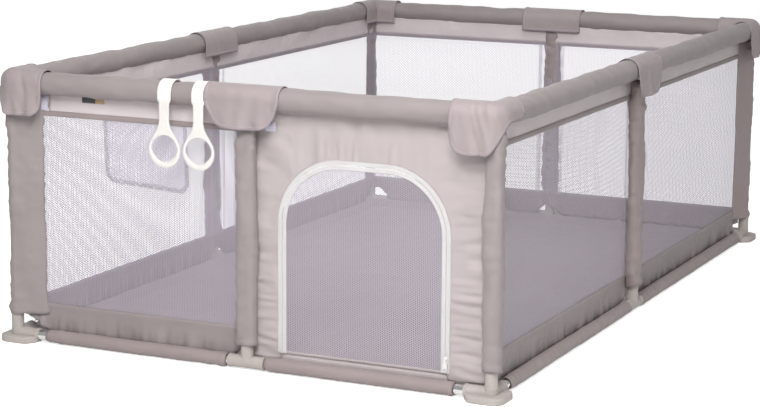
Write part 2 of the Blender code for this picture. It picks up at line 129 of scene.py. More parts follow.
class Finish(Recipe):
    """A material, built up from its shader's own sockets and the nodes that feed them."""

    def __init__(self, name, **fixed):
        self.material = bpy.data.materials.new(name)
        self.material.use_nodes = True
        super().__init__(self.material.node_tree)
        self.shader = self.tree.nodes["Principled BSDF"]
        self.feed(**fixed)

    def feed(self, **values):
        for name, value in values.items():
            self.put(self.shader.inputs[name.replace("_", " ")], value)

    def coordinates(self, which="Object"):
        return self.node("ShaderNodeTexCoord", {}, {}, which)

    def clouds(self, scale, detail=2.0, place=None):
        return self.node("ShaderNodeTexNoise", {}, {"Vector": place or self.coordinates(),
                                                    "Scale": scale, "Detail": detail})

    def mix(self, share, first, second):
        return self.node("ShaderNodeMix", {"data_type": "RGBA"}, {0: share, 6: first, 7: second}, 2)

    def bump(self, height, depth, strength=1.0, under=None):
        sockets = {"Height": height, "Distance": depth, "Strength": strength}
        if under:
            sockets["Normal"] = under
        return self.node("ShaderNodeBump", {}, sockets)


def placed(name, data):
    """A new object in the scene."""
    made = bpy.data.objects.new(name, data)
    bpy.context.scene.collection.objects.link(made)
    return made


def studio():
    scene = bpy.context.scene
    scene.view_settings.view_transform = "Standard"
    world = bpy.data.worlds.new("surround")
    world.use_nodes = True
    world.node_tree.nodes["Background"].inputs["Color"].default_value = (1.0, 1.0, 1.0, 1.0)
    world.node_tree.nodes["Background"].inputs["Strength"].default_value = SURROUND
    scene.world = world
    half = FLOOR_SIZE / 2
    sheet = bpy.data.meshes.new("studio_floor")
    sheet.from_pydata([(-half, -half, 0), (half, -half, 0), (half, half, 0), (-half, half, 0)],
                      [], [(0, 1, 2, 3)])
    floor = placed("studio_floor", sheet)
    white = Finish("studio_white", Base_Color=(FLOOR_WHITE,) * 3, Roughness=0.9,
                   Specular_IOR_Level=0.1, Emission_Color=(1.0, 1.0, 1.0))
    straight = white.node("ShaderNodeLightPath", {}, {}, "Is Camera Ray")
    white.feed(Emission_Strength=straight * (FLOOR_GLOW - FLOOR_BOUNCE) + FLOOR_BOUNCE)
    sheet.materials.append(white.material)
    for name, place, target, size, power, colour in SOFT_LIGHTS:
        lamp = bpy.data.lights.new(name, "AREA")
        lamp.size, lamp.energy, lamp.color = size, power, colour
        holder = placed(name, lamp)
        holder.location = place
        holder.rotation_euler = (Vector(target) - Vector(place)).to_track_quat("-Z", "Y").to_euler()
    level = math.cos(CAMERA_DOWN)
    ahead = Vector((math.sin(CAMERA_YAW) * level, math.cos(CAMERA_YAW) * level,
                    -math.sin(CAMERA_DOWN)))
    right = ahead.cross(Vector((0, 0, 1))).normalized()
    up = right.cross(ahead)
    turn, lean = math.cos(CAMERA_ROLL), math.sin(CAMERA_ROLL)
    columns = Matrix((turn * right + lean * up, turn * up - lean * right, -ahead)).transposed()
    camera = placed("camera", bpy.data.cameras.new("camera"))
    camera.data.lens = CAMERA_LENS
    camera.matrix_world = Matrix.Translation(CAMERA_PLACE) @ columns.to_4x4()
    scene.camera = camera


studio()


# ---- steel frame ----------------------------------------------------------------------
# Chromed steel tubes, 22 mm across with a 1 mm wall. Each side has two bottom tubes and a post
# at its middle, every corner has a post, and all of them are pushed into moulded sockets.
TUBE_SIDES = 32
TUBE_WALL = 0.001
TUBE_LIP = 0.0004
TUBE_CREASE = math.radians(35)
CAD_TUBE_SIDES = 12      # the model's tubes are many-sided; the real ones are round


def middle(node):
    low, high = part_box(node)
    return (low + high) / 2


class Side:
    """One side of the rectangle: u runs along it, and out of the pen is positive."""

    def __init__(self, name, along, outward):
        self.name = name
        self.along, self.outward = Vector(along), Vector(outward)
        corner = middle("post_front_right")
        across = Vector((corner.x, -corner.y, 0))
        self.distance = abs(self.outward.dot(across))
        self.half = abs(self.along.dot(across))
        self.middle = self.along.dot(middle(f"post_{name}_middle"))
        self.halves = ("left", "right") if self.along.x else ("front", "back")

    def at(self, u, out, z):
        return self.along * u + self.outward * (self.distance + out) + Vector((0, 0, z))


FRONT, BACK = Side("front", (1, 0, 0), (0, -1, 0)), Side("back", (1, 0, 0), (0, 1, 0))
LEFT, RIGHT = Side("left", (0, 1, 0), (-1, 0, 0)), Side("right", (0, 1, 0), (1, 0, 0))
SIDES = (FRONT, BACK, LEFT, RIGHT)
CORNERS = {name: Vector(middle(f"post_{name}")) * Vector((1, 1, 0))
           for name in ("front_right", "back_right", "back_left", "front_left")}
LOW_Z, TOP_Z = middle("bottom_tube_front_left").z, middle("rail_pad_front").z


def chrome_finish():
    made = Finish("chromed_steel", Metallic=1.0)
    haze = made.clouds(34.0, 4.0)
    made.feed(Base_Color=made.mix(haze, (0.82, 0.80, 0.81), (0.95, 0.93, 0.94)),
              Roughness=haze * 0.12 + 0.07,
              Normal=made.bump(made.clouds(420.0, 2.0), 0.0001, 0.25))
    return made.material


CHROME = chrome_finish()


def mount(piece, body="root", nodes=()):
    """Says what a piece rides on and hides the model's nodes that it stands for."""
    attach(piece, body)
    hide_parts(*nodes)
    return piece


def new_piece(name, mesh, skin, body, nodes):
    """An object for a finished mesh and its finish."""
    piece = placed(name, mesh)
    mesh.materials.clear()
    mesh.materials.append(skin)
    return mount(piece, body, nodes)


def finished(shape, mesh=None):
    """The bmesh's faces turned outwards and written to a mesh."""
    bmesh.ops.recalc_face_normals(shape, faces=shape.faces)
    mesh = mesh or bpy.data.meshes.new("made")
    shape.to_mesh(mesh)
    shape.free()
    return mesh


def turned(profile, start, direction):
    """A closed turned shape: pairs of (way along, radius) round a line from start."""
    shape = bmesh.new()
    frame_turn = Vector(direction).to_track_quat("Z", "X").to_matrix()
    turns = [math.tau * k / TUBE_SIDES for k in range(TUBE_SIDES)]
    rings = []
    for along, radius in profile:
        rings.append([shape.verts.new(Vector(start) + frame_turn @ Vector((
            radius * math.cos(turn), radius * math.sin(turn), along)))
            for turn in (turns if radius > 0 else turns[:1])])
    closed = profile[0][1] > 0
    for first, second in zip(rings, rings[1:] + rings[:1] if closed else rings[1:]):
        for k in range(TUBE_SIDES):
            corners = [first[k % len(first)], first[(k + 1) % len(first)],
                       second[(k + 1) % len(second)], second[k % len(second)]]
            shape.faces.new(dict.fromkeys(corners))
    mesh = finished(shape)
    mesh.shade_smooth()
    mesh.set_sharp_from_angle(angle=TUBE_CREASE)
    return mesh


def tube_piece(node):
    low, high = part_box(node)
    size = high - low
    way = max(range(3), key=lambda axis: size[axis])
    length, radius = size[way], (size.x + size.y + size.z - size[way]) / 4
    radius /= math.cos(math.pi / CAD_TUBE_SIDES) ** 0.5
    start = (low + high) / 2
    start[way] = low[way]
    direction = [0, 0, 0]
    direction[way] = 1
    profile = [(TUBE_LIP, radius), (length - TUBE_LIP, radius), (length, radius - TUBE_LIP),
               (length, radius - TUBE_WALL), (0, radius - TUBE_WALL), (0, radius - TUBE_LIP)]
    new_piece(f"steel_{node}", turned(profile, start, direction), CHROME, "root",
              [node])


def dressed(node, skin):
    """A better finish for a node that stays as it is."""
    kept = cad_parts[node]
    kept.data.materials.clear()
    kept.data.materials.append(skin)
    return kept


for node in sorted(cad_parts):
    if node.startswith(("post_", "bottom_tube_")):
        tube_piece(node)
    if node.startswith("top_rail_"):
        dressed(node, CHROME)


# ---- moulded feet and tees --------------------------------------------------------------
# Warm grey moulded plastic. A corner foot is a rounded slab with two level sockets and an
# upright one, each with a thick lip at its mouth. A tee joins two bottom tubes and a post.
FOOT_THICK = 0.016
FOOT_OVERHANG, FOOT_ROUND = 0.036, 0.028
SOCKET_R, SOCKET_REACH, TEE_REACH, POST_REACH = 0.0143, 0.060, 0.045, 0.052
SOCKET_BORE, SOCKET_SEAT = 0.0113, 0.020
LIP_R, LIP_LONG, LIP_EDGE = 0.0155, 0.007, 0.0012
HUB_R, HUB_EDGE = 0.0150, 0.001
SLAB_INNER = (-0.0132, 0.0132)
SLAB_EDGE = ((-0.058, 0.0132), (-0.058, -0.012), (-0.046, -0.030), (-0.034, -FOOT_OVERHANG))
SLAB_RIM, SLAB_BEVEL_ANGLE = 0.0032, 0.9
MOULDING_CREASE = math.radians(38)


def moulding_finish():
    made = Finish("warm_grey_moulding", Specular_IOR_Level=0.45)
    grain, wear = made.clouds(1400.0, 3.0), made.clouds(28.0, 5.0)
    made.feed(Base_Color=made.mix(wear, linear(170, 162, 157), linear(190, 182, 177)),
              Roughness=wear * 0.15 + 0.36,
              Normal=made.bump(grain, 0.00025, 0.35))
    return made.material


MOULDING = moulding_finish()


def settled(piece):
    """The piece's mesh as its modifiers leave it."""
    graph = bpy.context.evaluated_depsgraph_get()
    return bpy.data.meshes.new_from_object(piece.evaluated_get(graph))


def joined(meshes):
    """Several closed meshes as one, with what lies inside taken away."""
    tools = [placed("joining", mesh) for mesh in meshes]
    for other in tools[1:]:
        step = tools[0].modifiers.new("union", "BOOLEAN")
        step.operation, step.object = "UNION", other
    made = settled(tools[0])
    for tool in tools:
        bpy.data.objects.remove(tool)
    return made


def socket_mesh(start, direction, reach):
    lip = reach - LIP_LONG
    profile = [(0, 0), (0, SOCKET_R), (lip, SOCKET_R), (lip + LIP_EDGE, LIP_R),
               (reach - LIP_EDGE, LIP_R), (reach, LIP_R - LIP_EDGE), (reach, SOCKET_BORE),
               (SOCKET_SEAT, SOCKET_BORE), (SOCKET_SEAT, 0)]
    return turned(profile, start, direction)


def foot_slab():
    """The slab with its rounded outer corner and rounded, bellied edge."""
    centre = FOOT_OVERHANG - FOOT_ROUND
    edge = list(SLAB_EDGE)
    edge += [(centre + FOOT_ROUND * math.cos(a), -centre + FOOT_ROUND * math.sin(a))
             for a in (-math.pi / 2 + math.pi / 4 * k / 6 for k in range(7))]
    outline = [SLAB_INNER] + edge + [(-v, -u) for u, v in reversed(edge[:-1])]
    shape = bmesh.new()
    face = shape.faces.new([shape.verts.new((u, v, -LOW_Z)) for u, v in outline])
    pushed = bmesh.ops.extrude_face_region(shape, geom=[face])
    top = [item for item in pushed["geom"] if isinstance(item, bmesh.types.BMVert)]
    bmesh.ops.translate(shape, verts=top, vec=(0, 0, FOOT_THICK))
    bmesh.ops.recalc_face_normals(shape, faces=shape.faces)
    rim = [e for e in shape.edges if e.calc_face_angle(0) > SLAB_BEVEL_ANGLE]
    bmesh.ops.bevel(shape, geom=rim, offset=SLAB_RIM, segments=4, profile=0.5, affect="EDGES",
                    clamp_overlap=True)
    return finished(shape)


def knuckle():
    profile = [(0, 0), (0, HUB_R - HUB_EDGE), (HUB_EDGE, HUB_R), (2 * HUB_R - HUB_EDGE, HUB_R),
               (2 * HUB_R, HUB_R - HUB_EDGE), (2 * HUB_R, 0)]
    return turned(profile, (0, 0, -HUB_R), (0, 0, 1))


CORNER_TURNS = {"front_right": 0.0, "back_right": math.pi / 2, "back_left": math.pi,
                "front_left": -math.pi / 2}
foot_mesh = joined([foot_slab(), knuckle(), socket_mesh((0, 0, 0), (-1, 0, 0), SOCKET_REACH),
                    socket_mesh((0, 0, 0), (0, 1, 0), SOCKET_REACH),
                    socket_mesh((0, 0, 0), (0, 0, 1), POST_REACH)])


def finished_moulding(name, mesh, node):
    mesh.shade_smooth()
    mesh.set_sharp_from_angle(angle=MOULDING_CREASE)
    new_piece(name, mesh, MOULDING, "root", [node])


for name, place in CORNERS.items():
    mesh = foot_mesh.copy()
    mesh.transform(Matrix.Translation(place + Vector((0, 0, LOW_Z)))
                   @ Matrix.Rotation(CORNER_TURNS[name], 4, "Z"))
    finished_moulding(f"foot_{name}", mesh, f"corner_foot_{name}")
    dressed(f"top_corner_{name}", MOULDING)

for side in SIDES:
    place = side.at(side.middle, 0, LOW_Z)
    arms = [socket_mesh(place, side.along * way, TEE_REACH) for way in (-1, 1)]
    tee = joined(arms + [socket_mesh(place, (0, 0, 1), POST_REACH)])
    finished_moulding(f"tee_{side.name}", tee, f"base_tee_{side.name}")


# ---- padded top rails ---------------------------------------------------------------------
# Foam tube under a sewn oxford sleeve, one long sleeve a side, closed by a seam underneath
# where the wall is sewn on. Air is let into the sleeve between its pinned seam and ends.
PAD_R = 0.0270
PAD_CELL = 0.010
PAD_AROUND = 20
PAD_PUFF = 0.0016
PAD_TUCK = 0.001                  # how far each end stops short of the foam
PAD_TAPER, PAD_TAPER_LONG = 0.10, 0.02
PAD_SEAM, SEAM_STEP, SEAM_DIP = (PAD_AROUND - 4, PAD_AROUND - 5), 3, 0.0012
PAD_END_SHARES, PAD_HELD_ENDS = (0.02, 0.6), 4
SIM_FRAMES = 16
WEAVE_TURNS = math.tau / 0.0012


def oxford_finish(name, light, dark, rough=0.46):
    """Coated oxford cloth: a fine weave, a faint sheen, soft dents and small puckers."""
    made = Finish(name, Sheen_Weight=0.12, Sheen_Roughness=0.4, Specular_IOR_Level=0.5)
    across = made.node("ShaderNodeSeparateXYZ", {}, {0: made.coordinates("UV")})
    weave = (across * WEAVE_TURNS).sine() * (across.other(1) * WEAVE_TURNS).sine()
    drift = made.clouds(5.0, 3.0)
    rub = made.clouds(60.0, 4.0)
    creased = made.node("ShaderNodeTexNoise", {"noise_type": "RIDGED_MULTIFRACTAL"},
                        {"Vector": made.coordinates(), "Scale": 5.5, "Detail": 1.0, "Distortion": 1.4})
    dents = made.bump(made.clouds(13.0, 1.5), 0.018, 0.40)
    creases = made.bump(creased, 0.008, 0.26, dents)
    puckers = made.bump(made.clouds(70.0, 1.0), 0.0024, 0.20, creases)
    made.feed(Base_Color=made.mix(drift * 0.7 + rub * 0.25 + weave * 0.05, dark, light),
              Roughness=rub * 0.16 + rough - 0.08,
              Normal=made.bump(weave, 0.00022, 0.5, puckers))
    return made.material


OXFORD = oxford_finish("taupe_oxford", linear(160, 150, 150), linear(146, 136, 136))
OXFORD_PLAIN = oxford_finish("taupe_oxford_door", linear(191, 182, 182), linear(181, 170, 170))
# painted light: the bands' taupe oxford made much lighter to stand for the light that falls on them and
# shines through them
OXFORD_BAND_PAINTED_LIGHT = oxford_finish("taupe_oxford_band", linear(222, 213, 215), linear(211, 200, 202))
OXFORD_DEEP = oxford_finish("taupe_oxford_hem", linear(163, 150, 149), linear(146, 134, 133))


def grid(name, rows, skin, width, length, thick=0.0, ring=False):
    """A quad mesh through rows of points, its UV map in metres; ring joins each row's ends."""
    tall, wide = len(rows), len(rows[0])
    points = [tuple(p) for row in rows for p in row]
    count = wide if ring else wide - 1
    faces = [(j * wide + i, j * wide + (i + 1) % wide,
              (j + 1) * wide + (i + 1) % wide, (j + 1) * wide + i)
             for j in range(tall - 1) for i in range(count)]
    mesh = bpy.data.meshes.new(name)
    mesh.from_pydata(points, [], faces)
    places = mesh.uv_layers.new(name="cloth")
    spots = []
    for j in range(tall - 1):
        for i in range(count):
            for di, dj in ((0, 0), (1, 0), (1, 1), (0, 1)):
                spots += [(i + di) / count * width, (j + dj) / (tall - 1) * length]
    places.data.foreach_set("uv", spots)
    mesh.materials.append(skin)
    mesh.shade_smooth()
    piece = placed(name, mesh)
    if thick:
        step = piece.modifiers.new("thickness", "SOLIDIFY")
        step.thickness, step.offset = thick, 0.0
    return piece


def ripple(point, size, depth):
    """Smooth unevenness of a cloth at a point, for waves about size long."""
    return noise.noise(Vector(point) / size) * depth


def ease(x):
    x = min(1.0, max(0.0, x))
    return x * x * (3 - 2 * x)


def air_filled(piece, pinned, force, reach):
    """Lets air into a cloth form for some frames and keeps the shape, each point within reach."""
    group = piece.vertex_groups.new(name="pinned")
    group.add(pinned, 1.0, "REPLACE")
    cloth = piece.modifiers.new("air", "CLOTH")
    cloth.settings.quality = 5
    cloth.settings.mass = 0.3
    cloth.settings.tension_stiffness = cloth.settings.compression_stiffness = 18.0
    cloth.settings.bending_stiffness = 0.6
    cloth.settings.vertex_group_mass = "pinned"
    cloth.settings.use_pressure = True
    cloth.settings.uniform_pressure_force = force
    cloth.settings.effector_weights.gravity = 0.0
    cloth.collision_settings.use_collision = False
    cloth.point_cache.frame_start, cloth.point_cache.frame_end = 1, SIM_FRAMES
    for moment in range(1, SIM_FRAMES + 1):
        bpy.context.scene.frame_set(moment)
    puffed = settled(piece)
    for before, after in zip(piece.data.vertices, puffed.vertices):
        step = after.co - before.co
        before.co += step * min(1.0, reach / max(step.length, 1e-9))
    piece.modifiers.remove(cloth)
    piece.vertex_groups.clear()
    bpy.data.meshes.remove(puffed)
    bpy.context.scene.frame_set(1)


def rail_pad(side):
    low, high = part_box(f"rail_pad_{side.name}")
    start, end = sorted((side.along.dot(low), side.along.dot(high)))
    start, end = start + PAD_TUCK, end - PAD_TUCK
    count = int((end - start) / PAD_CELL)
    rows = []
    for j in range(count + 1):
        u = start + (end - start) * j / count
        inward = min(u - start, end - u)
        radius = PAD_R * (1 - PAD_TAPER * (1 - ease(inward / PAD_TAPER_LONG)))
        row = []
        for k in range(PAD_AROUND):
            a = math.tau * k / PAD_AROUND
            pull = SEAM_DIP if j % SEAM_STEP == 0 and k in PAD_SEAM else 0.0
            r = (radius - pull + ripple((u, a * 0.03, side.distance), 0.09, 0.0020)
                 + ripple((u * 0.55 + a * 0.012, a * 0.03, 3), 0.026, 0.0030))
            row.append(side.at(u, r * math.cos(a), TOP_Z + r * math.sin(a)))
        rows.append(row)
    for row, u in ((rows[0], start), (rows[-1], end)):
        hub = side.at(u, 0, TOP_Z)
        ends = [[hub + (p - hub) * share for p in row] for share in PAD_END_SHARES]
        rows = ends + rows if row is rows[0] else rows + ends[::-1]
    piece = grid(f"padded_rail_{side.name}", rows, OXFORD, math.tau * PAD_R, end - start, ring=True)
    shape = bmesh.new()
    shape.from_mesh(piece.data)
    bmesh.ops.holes_fill(shape, edges=[e for e in shape.edges if e.is_boundary])
    finished(shape, piece.data).shade_smooth()
    pinned = [j * PAD_AROUND + k for j in range(len(rows)) for k in range(PAD_AROUND)
              if j < PAD_HELD_ENDS or j >= len(rows) - PAD_HELD_ENDS
              or (k in PAD_SEAM and j % SEAM_STEP == 0)]
    air_filled(piece, pinned, 4.0, PAD_PUFF)
    step = piece.modifiers.new("smooth", "SUBSURF")
    step.levels = step.render_levels = 1
    mount(piece, nodes=[f"rail_pad_{side.name}"])


for side in SIDES:
    rail_pad(side)


# ---- net of the walls ---------------------------------------------------------------------
# Warp-knitted polyester net with six-sided holes 5 or 6 mm apart, pale lavender grey. Each
# wall has a flat panel of it; beside posts and round the pocket two layers overlap, darker.
# Round the pocket that darkness is painted shade, a dark grey colour on the hem.
NET_SPACING, NET_SPACING_LONG = 0.0050, 0.0060
NET_BAR = 0.305
NET_LOW, NET_HIGH, NET_UNDER_RAIL = 0.088, 0.541, 0.587
NET_IN, NET_SWAY = -0.0168, 0.0008
WALL_EDGE = 0.019
STRIP_WIDE = 0.009


def net_finish(name, light, dark):
    made = Finish(name, Sheen_Weight=0.15, Specular_IOR_Level=0.3)
    fibre = made.clouds(900.0, 3.0)
    made.feed(Base_Color=made.mix(made.clouds(8.0, 2.0) * 0.6 + fibre * 0.4, dark, light),
              Roughness=fibre * 0.15 + 0.72,
              Normal=made.bump(fibre, 0.0003, 0.5))
    return made.material


NET = net_finish("lavender_net", linear(199, 191, 205), linear(184, 176, 190))
NET_FINE = net_finish("white_net", linear(226, 222, 236), linear(210, 206, 222))


def modifier_recipe(name, inputs):
    """A Geometry Nodes tree as a recipe, with its named inputs as wires and their identifiers."""
    tree = bpy.data.node_groups.new(name, "GeometryNodeTree")
    keys = [tree.interface.new_socket(label, in_out="INPUT", socket_type=f"NodeSocket{kind}").identifier
            for label, kind in inputs]
    tree.interface.new_socket("Made", in_out="OUTPUT", socket_type="NodeSocketGeometry")
    recipe, given = Recipe(tree), tree.nodes.new("NodeGroupInput").outputs
    return recipe, [Wire(recipe, given[label]) for label, kind in inputs], keys


def grown(start, tree, keys, values):
    """The mesh that a Geometry Nodes tree makes from a starting mesh and its inputs' values."""
    carrier = placed(start.name, start)
    step = carrier.modifiers.new("grown", "NODES")
    step.node_group = tree
    for key, value in zip(keys, values):
        step[key] = value
    mesh = settled(carrier)
    bpy.data.objects.remove(carrier)
    return mesh


def net_tree():
    """Six-sided rings on a staggered grid, those outside a round-shouldered arch left out."""
    recipe, given, keys = modifier_recipe("knitted_net", (
        ("Columns", "Int"), ("Rows", "Int"), ("Cell radius", "Float"), ("Thread share", "Float"),
        ("Arch half width", "Float"), ("Arch shoulder", "Float"), ("Arch radius", "Float"),
        ("Thread", "Material")))
    columns, rows, cell, bar, half_width, shoulder, arch_radius, thread = given
    across, tall = cell * 1.5, cell * math.sqrt(3)
    wide_all, tall_all = across * (columns - 1.0), tall * (rows - 1.0)
    spots = recipe.node("GeometryNodeMeshGrid", {}, {
        "Size X": wide_all, "Size Y": tall_all, "Vertices X": columns, "Vertices Y": rows})
    x = recipe.node("ShaderNodeSeparateXYZ", {}, {0: recipe.node("GeometryNodeInputPosition", {}, {})})
    y = x.other(1)
    column = x.math("ROUND", x.math("DIVIDE", x + wide_all * 0.5, across))
    shift = x.math("MODULO", column, 2.0) * (tall * 0.5)
    staggered = recipe.node("GeometryNodeSetPosition", {}, {
        0: spots, "Offset": recipe.node("ShaderNodeCombineXYZ", {}, {"Y": shift})})
    beyond_x = x.math("MAXIMUM", x.math("ABSOLUTE", x) - (half_width - arch_radius), 0.0)
    beyond_y = x.math("MAXIMUM", y - shoulder, 0.0)
    far = x.math("SQRT", beyond_x * beyond_x + beyond_y * beyond_y)
    inside = recipe.node("GeometryNodeDeleteGeometry", {"domain": "POINT"}, {
        0: staggered,
        "Selection": recipe.node("FunctionNodeCompare", {"operation": "GREATER_THAN"},
                                 {0: far, 1: arch_radius})})
    ring = recipe.node("GeometryNodeMeshCircle", {}, {"Vertices": 6, "Radius": cell})
    inner = recipe.node("ShaderNodeVectorMath", {"operation": "SCALE"}, {
        0: recipe.node("GeometryNodeInputPosition", {}, {}), "Scale": bar * -1.0})
    band = recipe.node("GeometryNodeExtrudeMesh", {"mode": "EDGES"}, {0: ring, "Offset": inner})
    cells = recipe.node("GeometryNodeInstanceOnPoints", {}, {"Points": inside, "Instance": band})
    real = recipe.node("GeometryNodeRealizeInstances", {}, {0: cells})
    tied = recipe.node("GeometryNodeMergeByDistance", {}, {0: real, "Distance": 0.00005})
    recipe.end(recipe.node("GeometryNodeSetMaterial", {}, {0: tied, "Material": thread}))
    return recipe.tree, keys


NET_TREE, NET_KEYS = net_tree()
NO_ARCH = (20.0, 10.0, 9.0)


def knitted(name, width, height, spacing, thread, place, arch=NO_ARCH, sway=NET_SWAY, bar=NET_BAR):
    """A panel of net, width by height round the middle, laid out by place(x, y, lift)."""
    radius = spacing / math.sqrt(3)
    mesh = grown(bpy.data.meshes.new(name), NET_TREE, NET_KEYS, (
        int(width / (1.5 * radius)) + 1, int(height / spacing) + 1, radius, bar, *arch, thread))
    for vertex in mesh.vertices:
        x, y = vertex.co.x, vertex.co.y
        vertex.co = place(x, y, ripple((x, y, width), 0.13, sway))
    if mesh.polygons and mesh.polygons[0].normal.dot(place(0, 0, 1) - place(0, 0, 0)) < 0:
        mesh.flip_normals()
    mesh.name = name
    return placed(name, mesh)


def wall_range(side, second):
    """A wall panel's two ends along its side."""
    edge = side.half - WALL_EDGE
    return (side.middle, edge) if second else (-edge, side.middle)


def wall_net(side, second, node):
    low, high = wall_range(side, second)
    top = NET_UNDER_RAIL if node == "wall_front_left" else NET_HIGH
    width, height = high - low, top - NET_LOW
    mid, rise = (low + high) / 2, (top + NET_LOW) / 2
    spacing = NET_SPACING if side.along.x else NET_SPACING_LONG
    piece = knitted(f"net_{node}", width, height, spacing, NET,
                    lambda x, y, lift: side.at(mid + x, NET_IN + lift, rise + y))
    mount(piece, nodes=[node])
    end = side.middle + (0.034 if second else -0.034)
    strip = knitted(f"net_seam_{node}", STRIP_WIDE, height, 0.0046, NET,
                    lambda x, y, lift: side.at(end + x, NET_IN + 0.0014, rise + y), bar=0.36)
    mount(strip)
    0.45 * width * height


PANELS = [(side, second, f"wall_{side.name}_{half}") for side in SIDES
          for second, half in enumerate(side.halves) if not (side is FRONT and second)]
for side, second, node in PANELS:
    wall_net(side, second, node)


# ---- bands and hem sleeves of the walls ------------------------------------------------------
# The net is sewn to a taupe band under each rail, with a bound lower edge, and to a band at the
# foot, gathered where it joins the round hem sleeve that the bottom tube is pushed through.
BAND_Z = (0.5355, 0.5955)
BINDING_WIDE, BINDING_RISE = 0.0115, 0.0009
BAND_OUT = -0.0152
BAND_CELL = 0.009
FOOT_BAND_TOP, FOOT_BAND_LOW, FOOT_BAND_END = 0.094, 0.024, 0.058
HEM_AT_CORNER, HEM_AT_MID, DOOR_HEM_AT_MID = 0.084, 0.050, 0.047
HEM_R, HEM_AROUND = 0.0163, 20
CLOTH_THICK = 0.0009
CAP_GAP_FRONT = 0.088


def gathers(u, seed, depth, size=0.011):
    """Close upright folds along a sewn edge."""
    return ripple((u, seed, 0), size, depth) + ripple((u, seed + 5, 0), size * 3, depth)


def wall_bands(side, second, node):
    low, high = wall_range(side, second)
    band_low = -side.half + CAP_GAP_FRONT if node == "wall_front_left" else low
    count = int((high - band_low) / BAND_CELL)
    seed = side.distance + second + side.along.x * 3
    rows = []
    for j in range(7):
        share = j / 6
        z = BAND_Z[0] + 0.006 + (BAND_Z[1] - BAND_Z[0] - 0.006) * share
        row = []
        for k in range(count + 1):
            u = band_low + (high - band_low) * k / count
            pucker = gathers(u, seed, 0.0026, 0.016) * ease((share - 0.45) / 0.55)
            belly = ripple((u, z, seed), 0.11, 0.0036) * math.sin(math.pi * share)
            row.append(side.at(u, BAND_OUT + pucker + belly, z))
        rows.append(row)
    # the band takes the lighter copy of the oxford, which is painted light
    band = grid(f"band_{node}", rows, OXFORD_BAND_PAINTED_LIGHT, high - band_low, BAND_Z[1] - BAND_Z[0], CLOTH_THICK)
    rows = []
    count = int((high - low) / BAND_CELL)
    for rise, lift in ((0, 0.0004), (0.0006, BINDING_RISE), (0.0050, BINDING_RISE * 1.5),
                       (BINDING_WIDE - 0.0006, BINDING_RISE), (BINDING_WIDE, 0.0004)):
        rows.append([side.at(u, BAND_OUT + lift + ripple((u, seed, 9), 0.05, 0.0007), BAND_Z[0] + rise)
                     for u in (low + (high - low) * k / count for k in range(count + 1))])
    binding = grid(f"binding_{node}", rows, OXFORD_DEEP, high - low, BINDING_WIDE, 0.0016)
    for piece in (band, binding):
        mount(piece)
    high - band_low


def foot_band(side, second, name):
    low, high = wall_range(side, second)
    hem_low, hem_high = hem_range(side, second)
    count = int((high - low) / 0.005)
    seed = side.distance * 2 + second + side.along.x * 7
    rows = []
    for j in range(9):
        share = j / 8
        row = []
        for k in range(count + 1):
            u = low + (high - low) * k / count
            beyond = max(hem_low - u, u - hem_high, 0.0)
            foot = FOOT_BAND_LOW + (FOOT_BAND_END - FOOT_BAND_LOW) * ease(beyond / 0.055)
            z = foot + (FOOT_BAND_TOP - foot) * share
            fold = gathers(u, seed, 0.0074, 0.013) * (1 - ease(share * 1.3))
            fold *= 0.85 + ease(beyond / 0.03 + 0.1)
            edge = 0.0016 if share > 0.86 else 0.0
            row.append(side.at(u, BAND_OUT - 0.0008 + edge + fold + ripple((u, z, seed), 0.08, 0.0020), z))
        rows.append(row)
    piece = mount(grid(name, rows, OXFORD, high - low, 0.07, CLOTH_THICK))
    high - low


def hem_range(side, second):
    near = DOOR_HEM_AT_MID if side is FRONT and second else HEM_AT_MID
    if second:
        return side.middle + near, side.half - HEM_AT_CORNER
    return -side.half + HEM_AT_CORNER, side.middle - near


def hem_sleeve(side, second):
    low, high = hem_range(side, second)
    count = int((high - low) / 0.007)
    seed = side.distance * 3 + second + side.along.x * 5
    rows = []
    for j in range(count + 1):
        u = low + (high - low) * j / count
        inward = min(u - low, high - u)
        ruck = 0.0012 * (1 - ease(inward / 0.09)) + 0.00035
        row = []
        for k in range(HEM_AROUND):
            a = math.tau * k / HEM_AROUND
            r = HEM_R - 0.0008 - 0.0022 * (1 - ease(inward / 0.006))
            r += (ripple((u, a * 0.012, seed), 0.014, ruck * 1.6)
                  + ripple((u, a * 0.02, seed), 0.07, 0.0010))
            row.append(side.at(u, r * math.cos(a), LOW_Z + r * math.sin(a)))
        rows.append(row)
    piece = mount(grid(f"hem_{side.name}_{second}", rows, OXFORD_DEEP, math.tau * HEM_R, high - low,
                       CLOTH_THICK, ring=True))
    high - low


for side, second, node in PANELS:
    wall_bands(side, second, node)
    foot_band(side, second, f"foot_{node}")
for side in SIDES:
    for second in (0, 1):
        hem_sleeve(side, second)


# ---- post sleeves -----------------------------------------------------------------------------
# Oxford sleeves sewn to the walls, pulled over the posts: loose and creased on the middle posts,
# with a flat wing towards the wall on three of the corner posts. Hemmed at the foot.
SLEEVE_Z = {"default": (0.066, 0.583), "post_front_middle": (0.060, 0.583),
            "post_right_middle": (0.064, 0.583)}
SLEEVE_ROWS = 70
POST_RADIUS = 0.0142
SLEEVE_GIVE = 0.0021


def winged(tip_x, tip_y, radius=POST_RADIUS):
    """Teardrop section round a post, its thin end at a point of the wall."""
    reach = math.hypot(tip_x, tip_y)
    towards, open_by = math.atan2(tip_y, tip_x), math.acos(radius / reach)
    start = Vector((math.cos(towards + open_by), math.sin(towards + open_by))) * radius
    end = Vector((math.cos(towards - open_by), math.sin(towards - open_by))) * radius
    tip = Vector((tip_x, tip_y))
    side_way = Vector((-tip_y, tip_x)) / reach * 0.0013
    line = [tip + side_way + (start - tip - side_way) * k / 9 for k in range(9)]
    turn = math.tau - 2 * open_by
    line += [Vector((math.cos(a), math.sin(a))) * radius
             for a in (towards + open_by + turn * k / 16 for k in range(17))]
    line += [end + (tip - side_way - end) * k / 9 for k in range(1, 10)]
    return line


